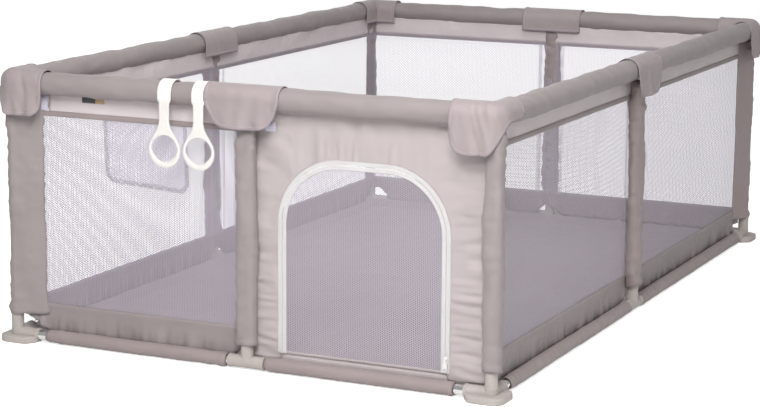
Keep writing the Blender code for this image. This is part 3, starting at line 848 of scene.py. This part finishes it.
def rounded(half_wide, half_deep, along_x=True):
    """Flattened round section."""
    sizes = (half_wide, half_deep) if along_x else (half_deep, half_wide)
    return [Vector((sizes[0] * math.copysign(abs(math.cos(a)) ** 0.8, math.cos(a)),
                    sizes[1] * math.copysign(abs(math.sin(a)) ** 0.8, math.sin(a))))
            for a in (math.tau * k / 32 for k in range(32))]


def post_sleeve(post, outline, loose):
    place = middle(post)
    low, high = SLEEVE_Z.get(post, SLEEVE_Z["default"])
    around = sum((b - a).length for a, b in zip(outline, outline[1:] + outline[:1]))
    seed = place.x * 3 + place.y
    rows = []
    for j in range(SLEEVE_ROWS + 1):
        share = j / SLEEVE_ROWS
        z = low + (high - low) * share
        row = []
        bunch = 0.75 + ease((share - 0.80) / 0.12) + 0.7 * ease((0.12 - share) / 0.1)
        for k, point in enumerate(outline):
            out = point.normalized() if point.length else Vector((1, 0))
            swing = ripple((point.x, point.y, z * 0.25 + seed), 0.030, loose * 0.9)
            crease = ripple((point.x * 0.6, point.y * 0.6 + z * 0.5, z + seed), 0.016, loose * 0.75) * bunch
            lip = 0.0006 if share < 0.03 else 0.0
            moved = point + out * max(swing + crease + lip, -SLEEVE_GIVE)
            row.append(Vector((place.x + moved.x, place.y + moved.y,
                               z + ripple((point.x, point.y, seed), 0.03, 0.003) * (1 - ease(share * 8)))))
        rows.append(row)
    piece = mount(grid(f"sleeve_{post}", rows, OXFORD_DEEP if "front" not in post else OXFORD,
                       around, high - low, 0.0008, ring=True))
    high - low


for post, outline, loose in (
        ("post_front_left", winged(0.073, 0.0150), 0.0062),
        ("post_front_right", rounded(0.0215, 0.0165), 0.0062),
        ("post_back_right", winged(-0.0150, -0.064), 0.0060),
        ("post_back_left", winged(0.0150, -0.064), 0.0060),
        ("post_front_middle", rounded(0.0240, 0.0160), 0.0080),
        ("post_back_middle", rounded(0.0240, 0.0160), 0.0070),
        ("post_right_middle", rounded(0.0265, 0.0165, False), 0.0095),
        ("post_left_middle", rounded(0.0265, 0.0165, False), 0.0080)):
    post_sleeve(post, outline, loose)


# ---- crawl-through door -------------------------------------------------------------------------
# The front wall's right half is plain oxford with an arch cut out. A coarse white zip runs round
# the arch, and the net flap behind it is sewn along its foot. Oxford gathers round the tape.
DOOR_X = middle("door_flap").x
DOOR_HALF, DOOR_ROUND, DOOR_TOP, DOOR_SILL = 0.197, 0.140, 0.4785, 0.0435
TAPE_NEAR, TAPE_FAR, TAPE_THICK = 0.0011, 0.0102, 0.0009
TAPE_OUT, PANEL_OUT = -0.0152, -0.0163
SURROUND_Z = (0.030, 0.5950)
SURROUND_X = (FRONT.middle + 0.004, FRONT.half - 0.0200)
SURROUND_RINGS = 18
TOOTH_GAP, TOOTH = 0.0023, (0.0017, 0.0024, 0.0013)
LEG_STEPS, ARCH_STEPS, FLAT_STEPS = 84, 44, 24


def arch(grow, foot):
    """The zip's line, grown outwards, as evenly numbered points from the left foot to the right."""
    half, top, radius = DOOR_HALF + grow, DOOR_TOP + grow, DOOR_ROUND + grow
    shoulder = top - radius
    leg = [foot + (shoulder - foot) * k / LEG_STEPS for k in range(LEG_STEPS)]
    turn = [math.pi / 2 * k / ARCH_STEPS for k in range(ARCH_STEPS + 1)]
    left = [(-half, z) for z in leg] + [(-half + radius - radius * math.cos(a),
                                         shoulder + radius * math.sin(a)) for a in turn]
    flat = [(-half + radius + 2 * (half - radius) * k / FLAT_STEPS, top) for k in range(1, FLAT_STEPS)]
    return [(DOOR_X + x, z) for x, z in left + flat + [(-x, z) for x, z in reversed(left)]]


def edge_facing(line):
    """Where each point of the arch looks to on the panel's rim."""
    found = []
    peak = len(line) // 2
    turn_at = LEG_STEPS + ARCH_STEPS // 2
    for index, (x, z) in enumerate(line):
        near = index if index <= peak else len(line) - 1 - index
        side_x = SURROUND_X[0] if index <= peak else SURROUND_X[1]
        if near <= turn_at:
            share = near / turn_at
            found.append((side_x, SURROUND_Z[0] + (SURROUND_Z[1] - SURROUND_Z[0]) * share))
        else:
            share = (near - turn_at) / (peak - turn_at)
            found.append((side_x + (line[peak][0] - side_x) * share, SURROUND_Z[1]))
    return found


inner = arch(0.0055, SURROUND_Z[0])
outer = edge_facing(inner)
rows = []
for j in range(SURROUND_RINGS + 1):
    share = j / SURROUND_RINGS
    row = []
    for (x0, z0), (x1, z1) in zip(inner, outer):
        x, z = x0 + (x1 - x0) * share, z0 + (z1 - z0) * share
        near_zip = 1 - ease(share * 1.6)
        if abs(x - DOOR_X) < DOOR_HALF - 0.02:
            pull = ripple((x, 0, 3), 0.011, 0.0066) * near_zip + ripple((x, z * 0.2, 4), 0.03, 0.0056)
        else:
            pull = ripple((0, z, x * 0.16), 0.012, 0.0072) * (0.35 + 0.65 * math.sin(math.pi * share))
            pull += ripple((x * 0.3, z, 6), 0.045, 0.0046)
        top_seam = gathers(x, 2, 0.0012, 0.018) * ease((z - 0.545) / 0.04)
        row.append(FRONT.at(x, PANEL_OUT + pull * (0.25 + 0.75 * ease(share * 5)) + top_seam, z))
    rows.append(row)
surround = mount(grid("door_panel", rows, OXFORD_PLAIN, 1.3, 0.10, CLOTH_THICK), nodes=["door_surround"])
panel_size = (SURROUND_X[1] - SURROUND_X[0], SURROUND_Z[1] - SURROUND_Z[0])

rows = [[FRONT.at(DOOR_X + DOOR_HALF * 1.02 * (k / 24 - 1),
                  PANEL_OUT + lift + ripple((k, j, 1), 2.0, 0.0008), z)
         for k in range(49)] for j, (z, lift) in enumerate(((0.024, 0.0), (0.031, 0.0005), (0.036, 0.0),
                                                           (0.0420, -0.0032)))]
sill = mount(grid("door_sill", rows, OXFORD_PLAIN, DOOR_HALF * 2, 0.019, CLOTH_THICK))


def tape(name, near, far, body):
    """Half of the zip's woven tape, from near to far of its line."""
    rows = []
    for step, lift in ((0.0, 0.0), (0.08, 0.0007), (0.45, 0.0009), (0.62, 0.0003), (0.72, 0.0008),
                       (0.94, 0.0006), (1.0, 0.0)):
        rows.append([FRONT.at(x, TAPE_OUT + lift, z)
                     for x, z in arch(near + (far - near) * step, DOOR_SILL)])
    return mount(grid(name, rows, TAPE_WHITE, 1.25, abs(far - near), TAPE_THICK), body)


def white_finish(name, colour, shade, grain, rough):
    made = Finish(name, Specular_IOR_Level=0.5, Subsurface_Weight=0.05)
    speck, drift = made.clouds(grain, 3.0), made.clouds(18.0, 3.0)
    made.feed(Base_Color=made.mix(drift * 0.7 + speck * 0.3, shade, colour),
              Roughness=speck * 0.14 + rough, Normal=made.bump(speck, 0.0003, 0.35))
    return made.material


TAPE_WHITE = white_finish("white_zip_tape", linear(214, 211, 211), linear(201, 196, 196), 1500.0, 0.6)
TEETH_WHITE = white_finish("white_zip_teeth", linear(237, 235, 233), linear(221, 218, 217), 500.0, 0.3)
IVORY = white_finish("ivory_moulding", linear(232, 228, 226), linear(223, 218, 213), 700.0, 0.3)
ENAMEL = white_finish("white_enamel", linear(240, 238, 238), linear(220, 216, 216), 300.0, 0.25)
IVORY_BAND = white_finish("ivory_webbing", linear(245, 241, 235), linear(236, 230, 222), 1200.0, 0.5)
# painted shade: the pocket's folded white net coloured dark grey to stand for the shade in its doubled layers
POCKET_HEM_PAINTED_SHADE = net_finish("grey_net_edge", linear(131, 125, 133), linear(119, 112, 120))
THREAD = oxford_finish("sewing_thread", linear(196, 184, 182), linear(176, 164, 162))

zip_edge = tape("zip_tape_fixed", TAPE_NEAR, TAPE_FAR, "root")
zip_flap_edge = tape("zip_tape_flap", -TAPE_NEAR, -TAPE_FAR, "door_flap")
0.48 * panel_size[0] * panel_size[1]


def path_tree():
    """Small rounded lumps set along a line at even gaps: zip teeth and stitches."""
    recipe, given, keys = modifier_recipe("along_a_seam", (
        ("Line", "Geometry"), ("Gap", "Float"), ("Lump size", "Vector"), ("Roundness", "Int"),
        ("Facing", "Vector"), ("Stuff", "Material")))
    line, gap, lump_size, roundness, facing, stuff = given
    curve = recipe.node("GeometryNodeMeshToCurve", {}, {0: line})
    spots = recipe.node("GeometryNodeCurveToPoints", {"mode": "LENGTH"}, {0: curve, "Length": gap})
    turn = recipe.node("FunctionNodeAlignRotationToVector", {"axis": "X"},
                       {"Vector": spots.other("Tangent")})
    turn = recipe.node("FunctionNodeAlignRotationToVector", {"axis": "Z", "pivot_axis": "X"},
                       {"Rotation": turn, "Vector": facing})
    lump = recipe.node("GeometryNodeMeshIcoSphere", {}, {"Subdivisions": roundness, "Radius": 0.5})
    set_out = recipe.node("GeometryNodeInstanceOnPoints", {}, {
        "Points": spots, "Instance": lump, "Rotation": turn, "Scale": lump_size})
    real = recipe.node("GeometryNodeRealizeInstances", {}, {0: set_out})
    recipe.end(recipe.node("GeometryNodeSetMaterial", {}, {0: real, "Material": stuff}))
    return recipe.tree, keys[1:]


PATH_TREE, PATH_KEYS = path_tree()


def along_path(name, lines, gap, lump, facing, stuff, body, roundness=1):
    """Teeth or stitches along one or more lines of points, as one piece."""
    points, edges = [], []
    for line in lines:
        first = len(points)
        points += [tuple(p) for p in line]
        edges += [(first + k, first + k + 1) for k in range(len(line) - 1)]
    start = bpy.data.meshes.new(name)
    start.from_pydata(points, edges, [])
    mesh = grown(start, PATH_TREE, PATH_KEYS, (gap, lump, roundness, facing, stuff))
    mesh.name = name
    mesh.shade_smooth()
    return mount(placed(name, mesh), body)


teeth = [along_path(f"zip_teeth_{name}", [[FRONT.at(x, TAPE_OUT + 0.0012, z) for x, z in arch(grow, foot)]],
                    TOOTH_GAP, TOOTH, (0, -1, 0), TEETH_WHITE, body, 2)
         for name, grow, foot, body in (("fixed", 0.0012, DOOR_SILL, "root"),
                                        ("flap", -0.0012, DOOR_SILL + TOOTH_GAP / 2, "door_flap"))]
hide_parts("zip_teeth")
stitch_line = [FRONT.at(x, TAPE_OUT + 0.0016, z) for x, z in arch(0.0088, DOOR_SILL + 0.004)]
along_path("zip_stitches", [stitch_line],
           0.0034, (0.0024, 0.0005, 0.0004), (0, -1, 0), TEETH_WHITE, "root")

FLAP_Z = (DOOR_SILL + 0.002, DOOR_TOP - 0.004)
flap_rise, flap_tall = sum(FLAP_Z) / 2, FLAP_Z[1] - FLAP_Z[0]
flap_half, flap_round = DOOR_HALF - 0.0055, DOOR_ROUND - 0.0055
flap = knitted("door_net", 2 * flap_half, flap_tall, NET_SPACING, NET,
               lambda x, y, lift: FRONT.at(DOOR_X + x, NET_IN + lift * 0.8, flap_rise + y),
               (flap_half, flap_tall / 2 - flap_round, flap_round), 0.0024)
mount(flap, "door_flap", ["door_flap"])
rows = [[FRONT.at(DOOR_X + (DOOR_HALF - 0.003) * (k / 20 - 1), PANEL_OUT + 0.0004 + lift, z)
         for k in range(41)]
        for z, lift in ((0.0442, 0.0), (0.0450, 0.0005), (0.0490, 0.0005), (0.0498, 0.0))]
flap_hem = mount(grid("door_net_hem", rows, OXFORD_PLAIN, DOOR_HALF * 2, 0.006, CLOTH_THICK), "door_flap")
for node in ("zip_slider", "zip_puller"):
    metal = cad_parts[node]
    metal.data.materials.clear()
    metal.data.materials.append(ENAMEL)
    step = metal.modifiers.new("softened", "BEVEL")
    step.width, step.segments, step.limit_method = 0.0002, 2, "ANGLE"


# ---- floor sheet ----------------------------------------------------------------------------------
# Thick taupe oxford that lies on the ground inside the pen, creased from being packed. Its
# edge spreads under the feet of the walls, where it is sewn to them.
FLOOR_SPREAD = Vector((0.0036, 0.0036, 0.0))      # cloth taken up by the seam all round
low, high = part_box("floor_sheet")
low, high = low - FLOOR_SPREAD, high + FLOOR_SPREAD
FLOOR_CELLS = (84, 134)
FLOOR_FOLDS = ((0.33, 0.0), (-0.34, 0.1), (0.02, -0.05))
FLOOR_DEEP = oxford_finish("taupe_floor", linear(168, 157, 160), linear(153, 143, 146), 0.66)


def floor_height(x, y):
    """Soft waves, with straight fold lines where the sheet was folded for its bag."""
    rise = 0.0016 + abs(ripple((x, y, 2), 0.21, 0.0042)) + abs(ripple((x, y, 7), 0.07, 0.0016))
    for place, lean in FLOOR_FOLDS:
        rise += 0.0034 * math.exp(-((x - place - lean * y) / 0.016) ** 2)
        rise += 0.0026 * math.exp(-((y - place * 1.7 + lean * x) / 0.016) ** 2)
    edge = min(x - low.x, high.x - x, y - low.y, high.y - y)
    return rise + 0.020 * (1 - ease(edge / 0.014))


rows = []
for j in range(FLOOR_CELLS[1] + 1):
    y = low.y + (high.y - low.y) * (0.5 - 0.5 * math.cos(math.pi * j / FLOOR_CELLS[1]) ** 1
                                   if j in (0, FLOOR_CELLS[1]) else j / FLOOR_CELLS[1])
    rows.append([Vector((x, y, floor_height(x, y))) for x in
                 (low.x + (high.x - low.x) * k / FLOOR_CELLS[0] for k in range(FLOOR_CELLS[0] + 1))])
ground = mount(grid("floor_cloth", rows, FLOOR_DEEP, high.x - low.x, high.y - low.y, 0.0012),
               nodes=["floor_sheet"])


# ---- corner caps and middle flaps ----------------------------------------------------------------
# Loose oxford covers that close over the rails with hook-and-loop tape: one over each corner and
# one over each middle post. One side hangs down outside; every edge is bound and stitched.
COVER_R = 0.0306
COVER_HEM, COVER_LINING = 0.539, 0.578
SHORT_HEM = 0.600
COVER_ROUND = 0.036
CORNER_PIVOT = 0.012
BOUND_WIDE, BOUND_RISE = 0.0085, 0.0010
STITCH = (0.0030, 0.0006, 0.0005)
STITCH_GAP = 0.0046
OXFORD_COVER = oxford_finish("taupe_oxford_cover", linear(171, 159, 160), linear(156, 144, 145))
BOUND_EDGE = oxford_finish("edge_binding", linear(170, 158, 162), linear(153, 141, 145), 0.62)
# corner: outside hem and reach along the first arm, the same along the second, flare of the skirt
CAPS = {
    "front_left": ((SHORT_HEM, 0.083), (COVER_HEM, 0.096), 0.0042),
    "front_right": ((COVER_HEM - 0.008, 0.094), (SHORT_HEM, 0.083), 0.0030),
    "back_right": ((COVER_HEM, 0.096), (SHORT_HEM, 0.090), 0.0040),
    "back_left": ((SHORT_HEM, 0.090), (COVER_HEM, 0.096), 0.0040),
}
ARM_ROWS, FAN_ROWS = 20, 14
HANG_STEPS, ROUND_STEPS, LINING_STEPS = 14, 14, 7


def cover_section(hem, lining):
    """(out, up from the rail's axis, way along the section) from the outside hem to the lining."""
    points = [(COVER_R, hem + (TOP_Z - hem) * k / HANG_STEPS - TOP_Z) for k in range(HANG_STEPS)]
    points += [(COVER_R * math.cos(a), COVER_R * math.sin(a))
               for a in (math.pi * k / ROUND_STEPS for k in range(ROUND_STEPS + 1))]
    points += [(-COVER_R, (lining - TOP_Z) * k / LINING_STEPS) for k in range(1, LINING_STEPS + 1)]
    return points


def rounded_hem(hem, inward, radius):
    """The hem climbs in a quarter round towards the free end of an arm."""
    if inward >= radius:
        return hem
    return hem + radius * (1 - math.sqrt(max(0.0, 1 - (1 - inward / radius) ** 2))) * 1.15


def cap_rows(spec, seed):
    (hem_a, reach_a), (hem_b, reach_b), flare = spec
    rows = []
    total = 2 * ARM_ROWS + FAN_ROWS
    for j in range(total + 1):
        fan = min(1.0, max(0.0, (j - ARM_ROWS) / FAN_ROWS))
        if j <= ARM_ROWS:
            inward = reach_a * j / ARM_ROWS
        elif j >= total - ARM_ROWS:
            inward = reach_b * (total - j) / ARM_ROWS
        else:
            inward = 1.0
        hem = hem_a + (hem_b - hem_a) * ease(fan)
        own = hem_a if fan < 0.5 else hem_b
        hem = rounded_hem(hem, inward, COVER_ROUND if own < 0.58 else 0.012)
        row = []
        for out, up in cover_section(min(hem, TOP_Z - 0.004), COVER_LINING):
            drop = max(0.0, -up) if out > 0 else 0.0
            hung = ease(drop / 0.075)
            wave = ripple((j * 0.11, up * 4, seed), 0.60, 0.0060) * (0.25 + hung * 1.2)
            crease = ripple((j * 0.33 + up * 26, up * 7, seed + 3), 0.6, 0.0022)
            out += (flare * hung * (1.3 - abs(fan - 0.5)) + wave + crease) * (1 if out > 0 else 0.4)
            around = max(0.0, out + CORNER_PIVOT)
            bend = min(out, -CORNER_PIVOT)
            a = math.pi / 2 * fan
            x = bend + around * math.sin(a)
            y = -bend - around * math.cos(a)
            if j < ARM_ROWS:
                x = -reach_a + (bend + reach_a) * j / ARM_ROWS
            if j > total - ARM_ROWS:
                y = reach_b - (bend + reach_b) * (total - j) / ARM_ROWS
            row.append(Vector((x, y, TOP_Z + up)))
        rows.append(row)
    return rows


def bound(name, rows, outward):
    """Folded tape sewn over a cloth's free edge all round, and the stitches that hold it."""
    last = len(rows) - 1
    border = ([(rows[0][k], rows[2][k]) for k in range(len(rows[0]))]
              + [(row[-1], row[-3]) for row in rows[1:-1]]
              + [(rows[last][k], rows[last - 2][k]) for k in reversed(range(len(rows[0])))]
              + [(row[0], row[2]) for row in rows[-2:0:-1]])
    count = len(border)
    section = ((-0.0006, 0.0000), (0.0, 1.0), (0.45, 1.15), (0.94, 0.95), (1.0, 0.55),
               (0.9, -0.9), (0.0, -1.0))
    bands = [[] for _ in section]
    seam = []
    for index, (edge, inside) in enumerate(border):
        ahead = border[(index + 1) % count][0] - border[index - 1][0]
        inward = inside - edge
        inward -= ahead * (inward.dot(ahead) / max(ahead.length_squared, 1e-12))
        if inward.length < 1e-7:
            inward = inside - edge
        inward.normalize()
        face = outward(edge, inward.cross(ahead).normalized())
        for band, (way, rise) in zip(bands, section):
            band.append(edge + inward * BOUND_WIDE * way + face * (CLOTH_THICK / 2 + BOUND_RISE * 0.6) * rise)
        seam.append(edge + inward * BOUND_WIDE * 0.84 + face * (CLOTH_THICK / 2 + BOUND_RISE * 0.75))
    piece = grid(f"{name}_binding", bands + bands[:1], BOUND_EDGE, 0.6, BOUND_WIDE * 2, ring=True)
    shape = bmesh.new()
    shape.from_mesh(piece.data)
    bmesh.ops.remove_doubles(shape, verts=shape.verts, dist=0.00002)
    bmesh.ops.recalc_face_normals(shape, faces=shape.faces)
    shape.to_mesh(piece.data)
    shape.free()
    mount(piece)
    stitches = along_path(f"{name}_stitches", [seam + seam[:1]], STITCH_GAP, STITCH, (0.3, -0.9, 0.3),
                          THREAD, "root")
    return piece, stitches


def cloth_area(rows):
    total = 0.0
    for first, second in zip(rows, rows[1:]):
        for k in range(len(first) - 1):
            a, b, c, d = first[k], first[k + 1], second[k + 1], second[k]
            total += ((b - a).cross(c - a).length + (c - a).cross(d - a).length) / 2
    return total


def cover(name, rows, centre, flat, node=None):
    """A cap or flap with its bound edge."""
    piece = mount(grid(name, rows, OXFORD_COVER, flat[1], flat[0], 0.0011), nodes=[node] if node else [])

    def outward(point, face):
        away = point - centre
        away.z = max(away.z, 0.0)
        return face if face.dot(away) > 0 else -face

    extras = bound(name, rows, outward)
    min(cloth_area(rows), flat[0] * flat[1])


for name, place in CORNERS.items():
    turn = Matrix.Translation(place) @ Matrix.Rotation(CORNER_TURNS[name], 4, "Z")
    rows = [[turn @ point for point in row] for row in cap_rows(CAPS[name], place.x * 5 + place.y)]
    inner_corner = turn @ Vector((-CORNER_PIVOT, CORNER_PIVOT, TOP_Z))
    cover(f"cap_{name}", rows, inner_corner, (0.215, 0.215),
          f"corner_cap_{name}")

# one over each middle post: how far it reaches each way, the hem outside, how square its corners are
FLAPS = ((FRONT, 0.092, 0.546, 5.0), (RIGHT, 0.090, 0.545, 6.0), (BACK, 0.090, 0.546, 6.0),
         (LEFT, 0.086, 0.546, 6.0))
FLAP_COLUMNS = 44


def flap_rows(side, reach, hem, square):
    rows = []
    for j in range(FLAP_COLUMNS + 1):
        share = 2 * j / FLAP_COLUMNS - 1
        u = side.middle + 0.001 + reach * math.sin(share * math.pi / 2) ** 1
        own_hem = hem + (TOP_Z - 0.006 - hem) * abs(math.sin(share * math.pi / 2)) ** square
        row = []
        for out, up in cover_section(own_hem, COVER_LINING):
            hung = ease(max(0.0, -up) / 0.07) if out > 0 else 0.0
            fold = ripple((u, up * 0.22, side.distance), 0.032, 0.0074) * (0.30 + hung)
            fold += ripple((u + up * 0.3, up * 0.5, 4), 0.013, 0.0020) * (0.4 + hung)
            row.append(side.at(u, out + (fold + 0.0020 * hung) * (1 if out > 0 else 0.3), TOP_Z + up))
        rows.append(row)
    return rows


for side, reach, hem, square in FLAPS:
    rows = flap_rows(side, reach, hem, square)
    cover(f"flap_{side.name}", rows, side.at(side.middle, 0, TOP_Z), (2 * reach, 0.190))

# the light loop half of the tape shows past the front flap's lower right and beside the left cap
for name, near, far, foot, top in (("flap_front", 0.052, 0.078, 0.541, 0.5625),
                                   ("cap_front_left", -0.534, -0.5135, 0.5475, 0.584)):
    rows = [[FRONT.at(near + (far - near) * k / 10, BAND_OUT + lift + 0.0016, z) for k in range(11)]
            for z, lift in ((foot, 0.0), (foot + 0.0005, 0.0012), ((foot + top) / 2, 0.0013),
                            (top - 0.0005, 0.0013), (top, 0.0))]
    mount(grid(f"{name}_loop_tape", rows, NET_FINE, far - near, top - foot, 0.0010))


# ---- pocket and label ----------------------------------------------------------------------------
# A small patch pocket of finer white net hangs inside the front wall, its sides and foot folded
# over so that the net is double there, the fold's darker look painted as shade in a grey colour.
# A blank two-coloured woven tab is sewn into the band.
low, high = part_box("mesh_pocket")
POCKET_HEM, POCKET_ROUND = 0.0085, 0.022
TAB_X, TAB_Z, TAB_SPLIT = (-0.420, -0.361), (0.5720, 0.5860), -0.385
pocket_wide, pocket_tall = high.x - low.x, BAND_Z[0] - low.z
pocket_x, pocket_z = (low.x + high.x) / 2, (BAND_Z[0] + low.z) / 2


def pocket_point(x, y, lift, back=0.0):
    belly = (math.cos(min(1, abs(2 * x / pocket_wide)) * math.pi / 2)
             * math.cos(min(1, abs(2 * y / pocket_tall)) * 1.3))
    return FRONT.at(pocket_x + x + (y / pocket_tall - 0.5) * -0.006,
                    -0.0192 - back - 0.0055 * belly + lift * 0.3,
                    pocket_z + y - 0.012 * (x / pocket_wide + 0.5) * (0.5 - y / pocket_tall))


half_wide, half_tall = pocket_wide / 2, pocket_tall / 2
pocket = knitted("pocket_net", pocket_wide, pocket_tall, 0.0036, NET_FINE,
                 lambda x, y, lift: pocket_point(x, -y, lift),
                 (half_wide, half_tall - POCKET_ROUND, POCKET_ROUND), bar=0.30)
mount(pocket, nodes=["mesh_pocket"])
side_run, foot_run = pocket_tall - POCKET_ROUND, pocket_wide - 2 * POCKET_ROUND
corner_run = POCKET_ROUND * math.pi / 2
hem_run = 2 * side_run + 2 * corner_run + foot_run


def hem_point(x, y, lift):
    """Down one side of the pocket, round its corner and along its foot, and up the other side."""
    way = abs(x)
    if way < foot_run / 2:
        u, v = way, -half_tall + y
    elif way < foot_run / 2 + corner_run:
        a = (way - foot_run / 2) / POCKET_ROUND
        u = foot_run / 2 + (POCKET_ROUND - y) * math.sin(a)
        v = -half_tall + POCKET_ROUND - (POCKET_ROUND - y) * math.cos(a)
    else:
        u, v = half_wide - y, -half_tall + POCKET_ROUND + way - foot_run / 2 - corner_run
    return pocket_point(math.copysign(u, x), v, 0.0, 0.0008)


# the doubled hem takes the dark grey net colour, which is painted shade
hem = knitted("pocket_hem", hem_run, POCKET_HEM, 0.0034, POCKET_HEM_PAINTED_SHADE, hem_point, bar=0.50)
mount(hem)


def tab(name, x0, x1, skin):
    rows = [[FRONT.at(x, BAND_OUT + 0.0014 + lift, z) for x in (x0 + (x1 - x0) * k / 6 for k in range(7))]
            for z, lift in ((TAB_Z[0], 0.0), (TAB_Z[0] + 0.0006, 0.0006), (sum(TAB_Z) / 2, 0.0009),
                            (TAB_Z[1] - 0.0006, 0.0006), (TAB_Z[1], 0.0))]
    return mount(grid(name, rows, skin, x1 - x0, TAB_Z[1] - TAB_Z[0], 0.0008))


TAB_DARK = oxford_finish("woven_tab_dark", linear(88, 84, 88), linear(66, 62, 66), 0.6)
TAB_TAN = oxford_finish("woven_tab_tan", linear(196, 170, 132), linear(176, 150, 112), 0.6)
tab("label_tab_dark", TAB_X[0], TAB_SPLIT, TAB_DARK)
tab("label_tab_tan", TAB_SPLIT + 0.0004, TAB_X[1], TAB_TAN)


# ---- pull-up rings ---------------------------------------------------------------------------------
# Ivory moulded rings for a standing child to hold. A round bar makes the ring, thicker at the foot
# with finger waves inside, and its flared shank is sewn into a webbing band over the rail.
RING_X = (-0.179, -0.092)
RING_Z, RING_OUTER = 0.487, 0.0405
RING_OUT = 0.0278 + 0.0008 + 0.00125
RING_THICK = 0.0062
SHANK_TOP = 0.600
BAND_WIDE, BAND_TAIL, BAND_WRAP = 0.034, 0.5926, math.radians(140)


def ring_mesh():
    """Bar, shank and flare as overlapping solids, melted into one by a fine voxel remesh."""
    shape = bmesh.new()
    steps, sides = 72, 14
    loops = []
    for j in range(steps):
        a = math.tau * j / steps
        low_share = ease((-math.sin(a) + 0.15) / 0.9)
        thick = 0.0040 + 0.0030 * low_share
        wave = 0.0009 * math.cos(a * 14) * low_share
        radius = RING_OUTER - thick + wave * 0.5
        way = Vector((math.cos(a), 0, math.sin(a)))
        loops.append([shape.verts.new(way * (radius + (thick - wave * 0.5) * math.cos(b))
                                      + Vector((0, RING_THICK / 2 * math.sin(b), 0)))
                      for b in (math.tau * k / sides for k in range(sides))])
    for first, second in zip(loops, loops[1:] + loops[:1]):
        for k in range(sides):
            shape.faces.new((first[k], first[(k + 1) % sides], second[(k + 1) % sides], second[k]))
    tall = SHANK_TOP - RING_Z
    outline = [(0.0128, tall), (0.0124, tall - 0.030), (0.0122, tall - 0.046), (0.0150, tall - 0.062),
               (0.0215, 0.0400), (0.0300, 0.0285), (0.0245, 0.0290), (0.0120, 0.0345)]
    outline += [(-x, z) for x, z in reversed(outline)]
    lower = [shape.verts.new((x, -RING_THICK * 0.42, z)) for x, z in outline]
    upper = [shape.verts.new((x, RING_THICK * 0.42, z)) for x, z in outline]
    shape.faces.new(lower)
    shape.faces.new(upper[::-1])
    for k in range(len(outline)):
        n = (k + 1) % len(outline)
        shape.faces.new((lower[n], lower[k], upper[k], upper[n]))
    bmesh.ops.recalc_face_normals(shape, faces=shape.faces)
    mesh = bpy.data.meshes.new("ring")
    shape.to_mesh(mesh)
    shape.free()
    work = bpy.data.objects.new("ring", mesh)
    bpy.context.scene.collection.objects.link(work)
    melt = work.modifiers.new("melt", "REMESH")
    melt.mode, melt.voxel_size = "VOXEL", 0.0009
    soften = work.modifiers.new("soften", "SMOOTH")
    soften.factor, soften.iterations = 0.5, 9
    made = settled(work)
    bpy.data.objects.remove(work)
    made.shade_smooth()
    return made


moulded_ring = ring_mesh()
for name, x in zip(("left", "right"), RING_X):
    mesh = moulded_ring.copy()
    mesh.transform(Matrix.Translation(FRONT.at(x, RING_OUT, RING_Z)))
    new_piece(f"ring_{name}", mesh, IVORY, f"ring_{name}", [f"pull_ring_{name}"])
    rows = []
    inner_r = 0.0278 + 0.0019
    for step in range(-5, 25):
        if step < 0:
            out, up = inner_r, BAND_TAIL - TOP_Z + (TOP_Z - BAND_TAIL) * (step + 5) / 5
        else:
            out, up = inner_r * math.cos(BAND_WRAP * step / 24), inner_r * math.sin(BAND_WRAP * step / 24)
        half = BAND_WIDE / 2 * (0.86 + 0.14 * ease((step + 5) / 2.0))
        rows.append([FRONT.at(x + half * (k / 6 - 1), out, TOP_Z + up) for k in range(13)])
    band = mount(grid(f"ring_band_{name}", rows, IVORY_BAND, BAND_WIDE, 0.092, 0.0023), f"ring_{name}",
                 [f"ring_strap_{name}"])
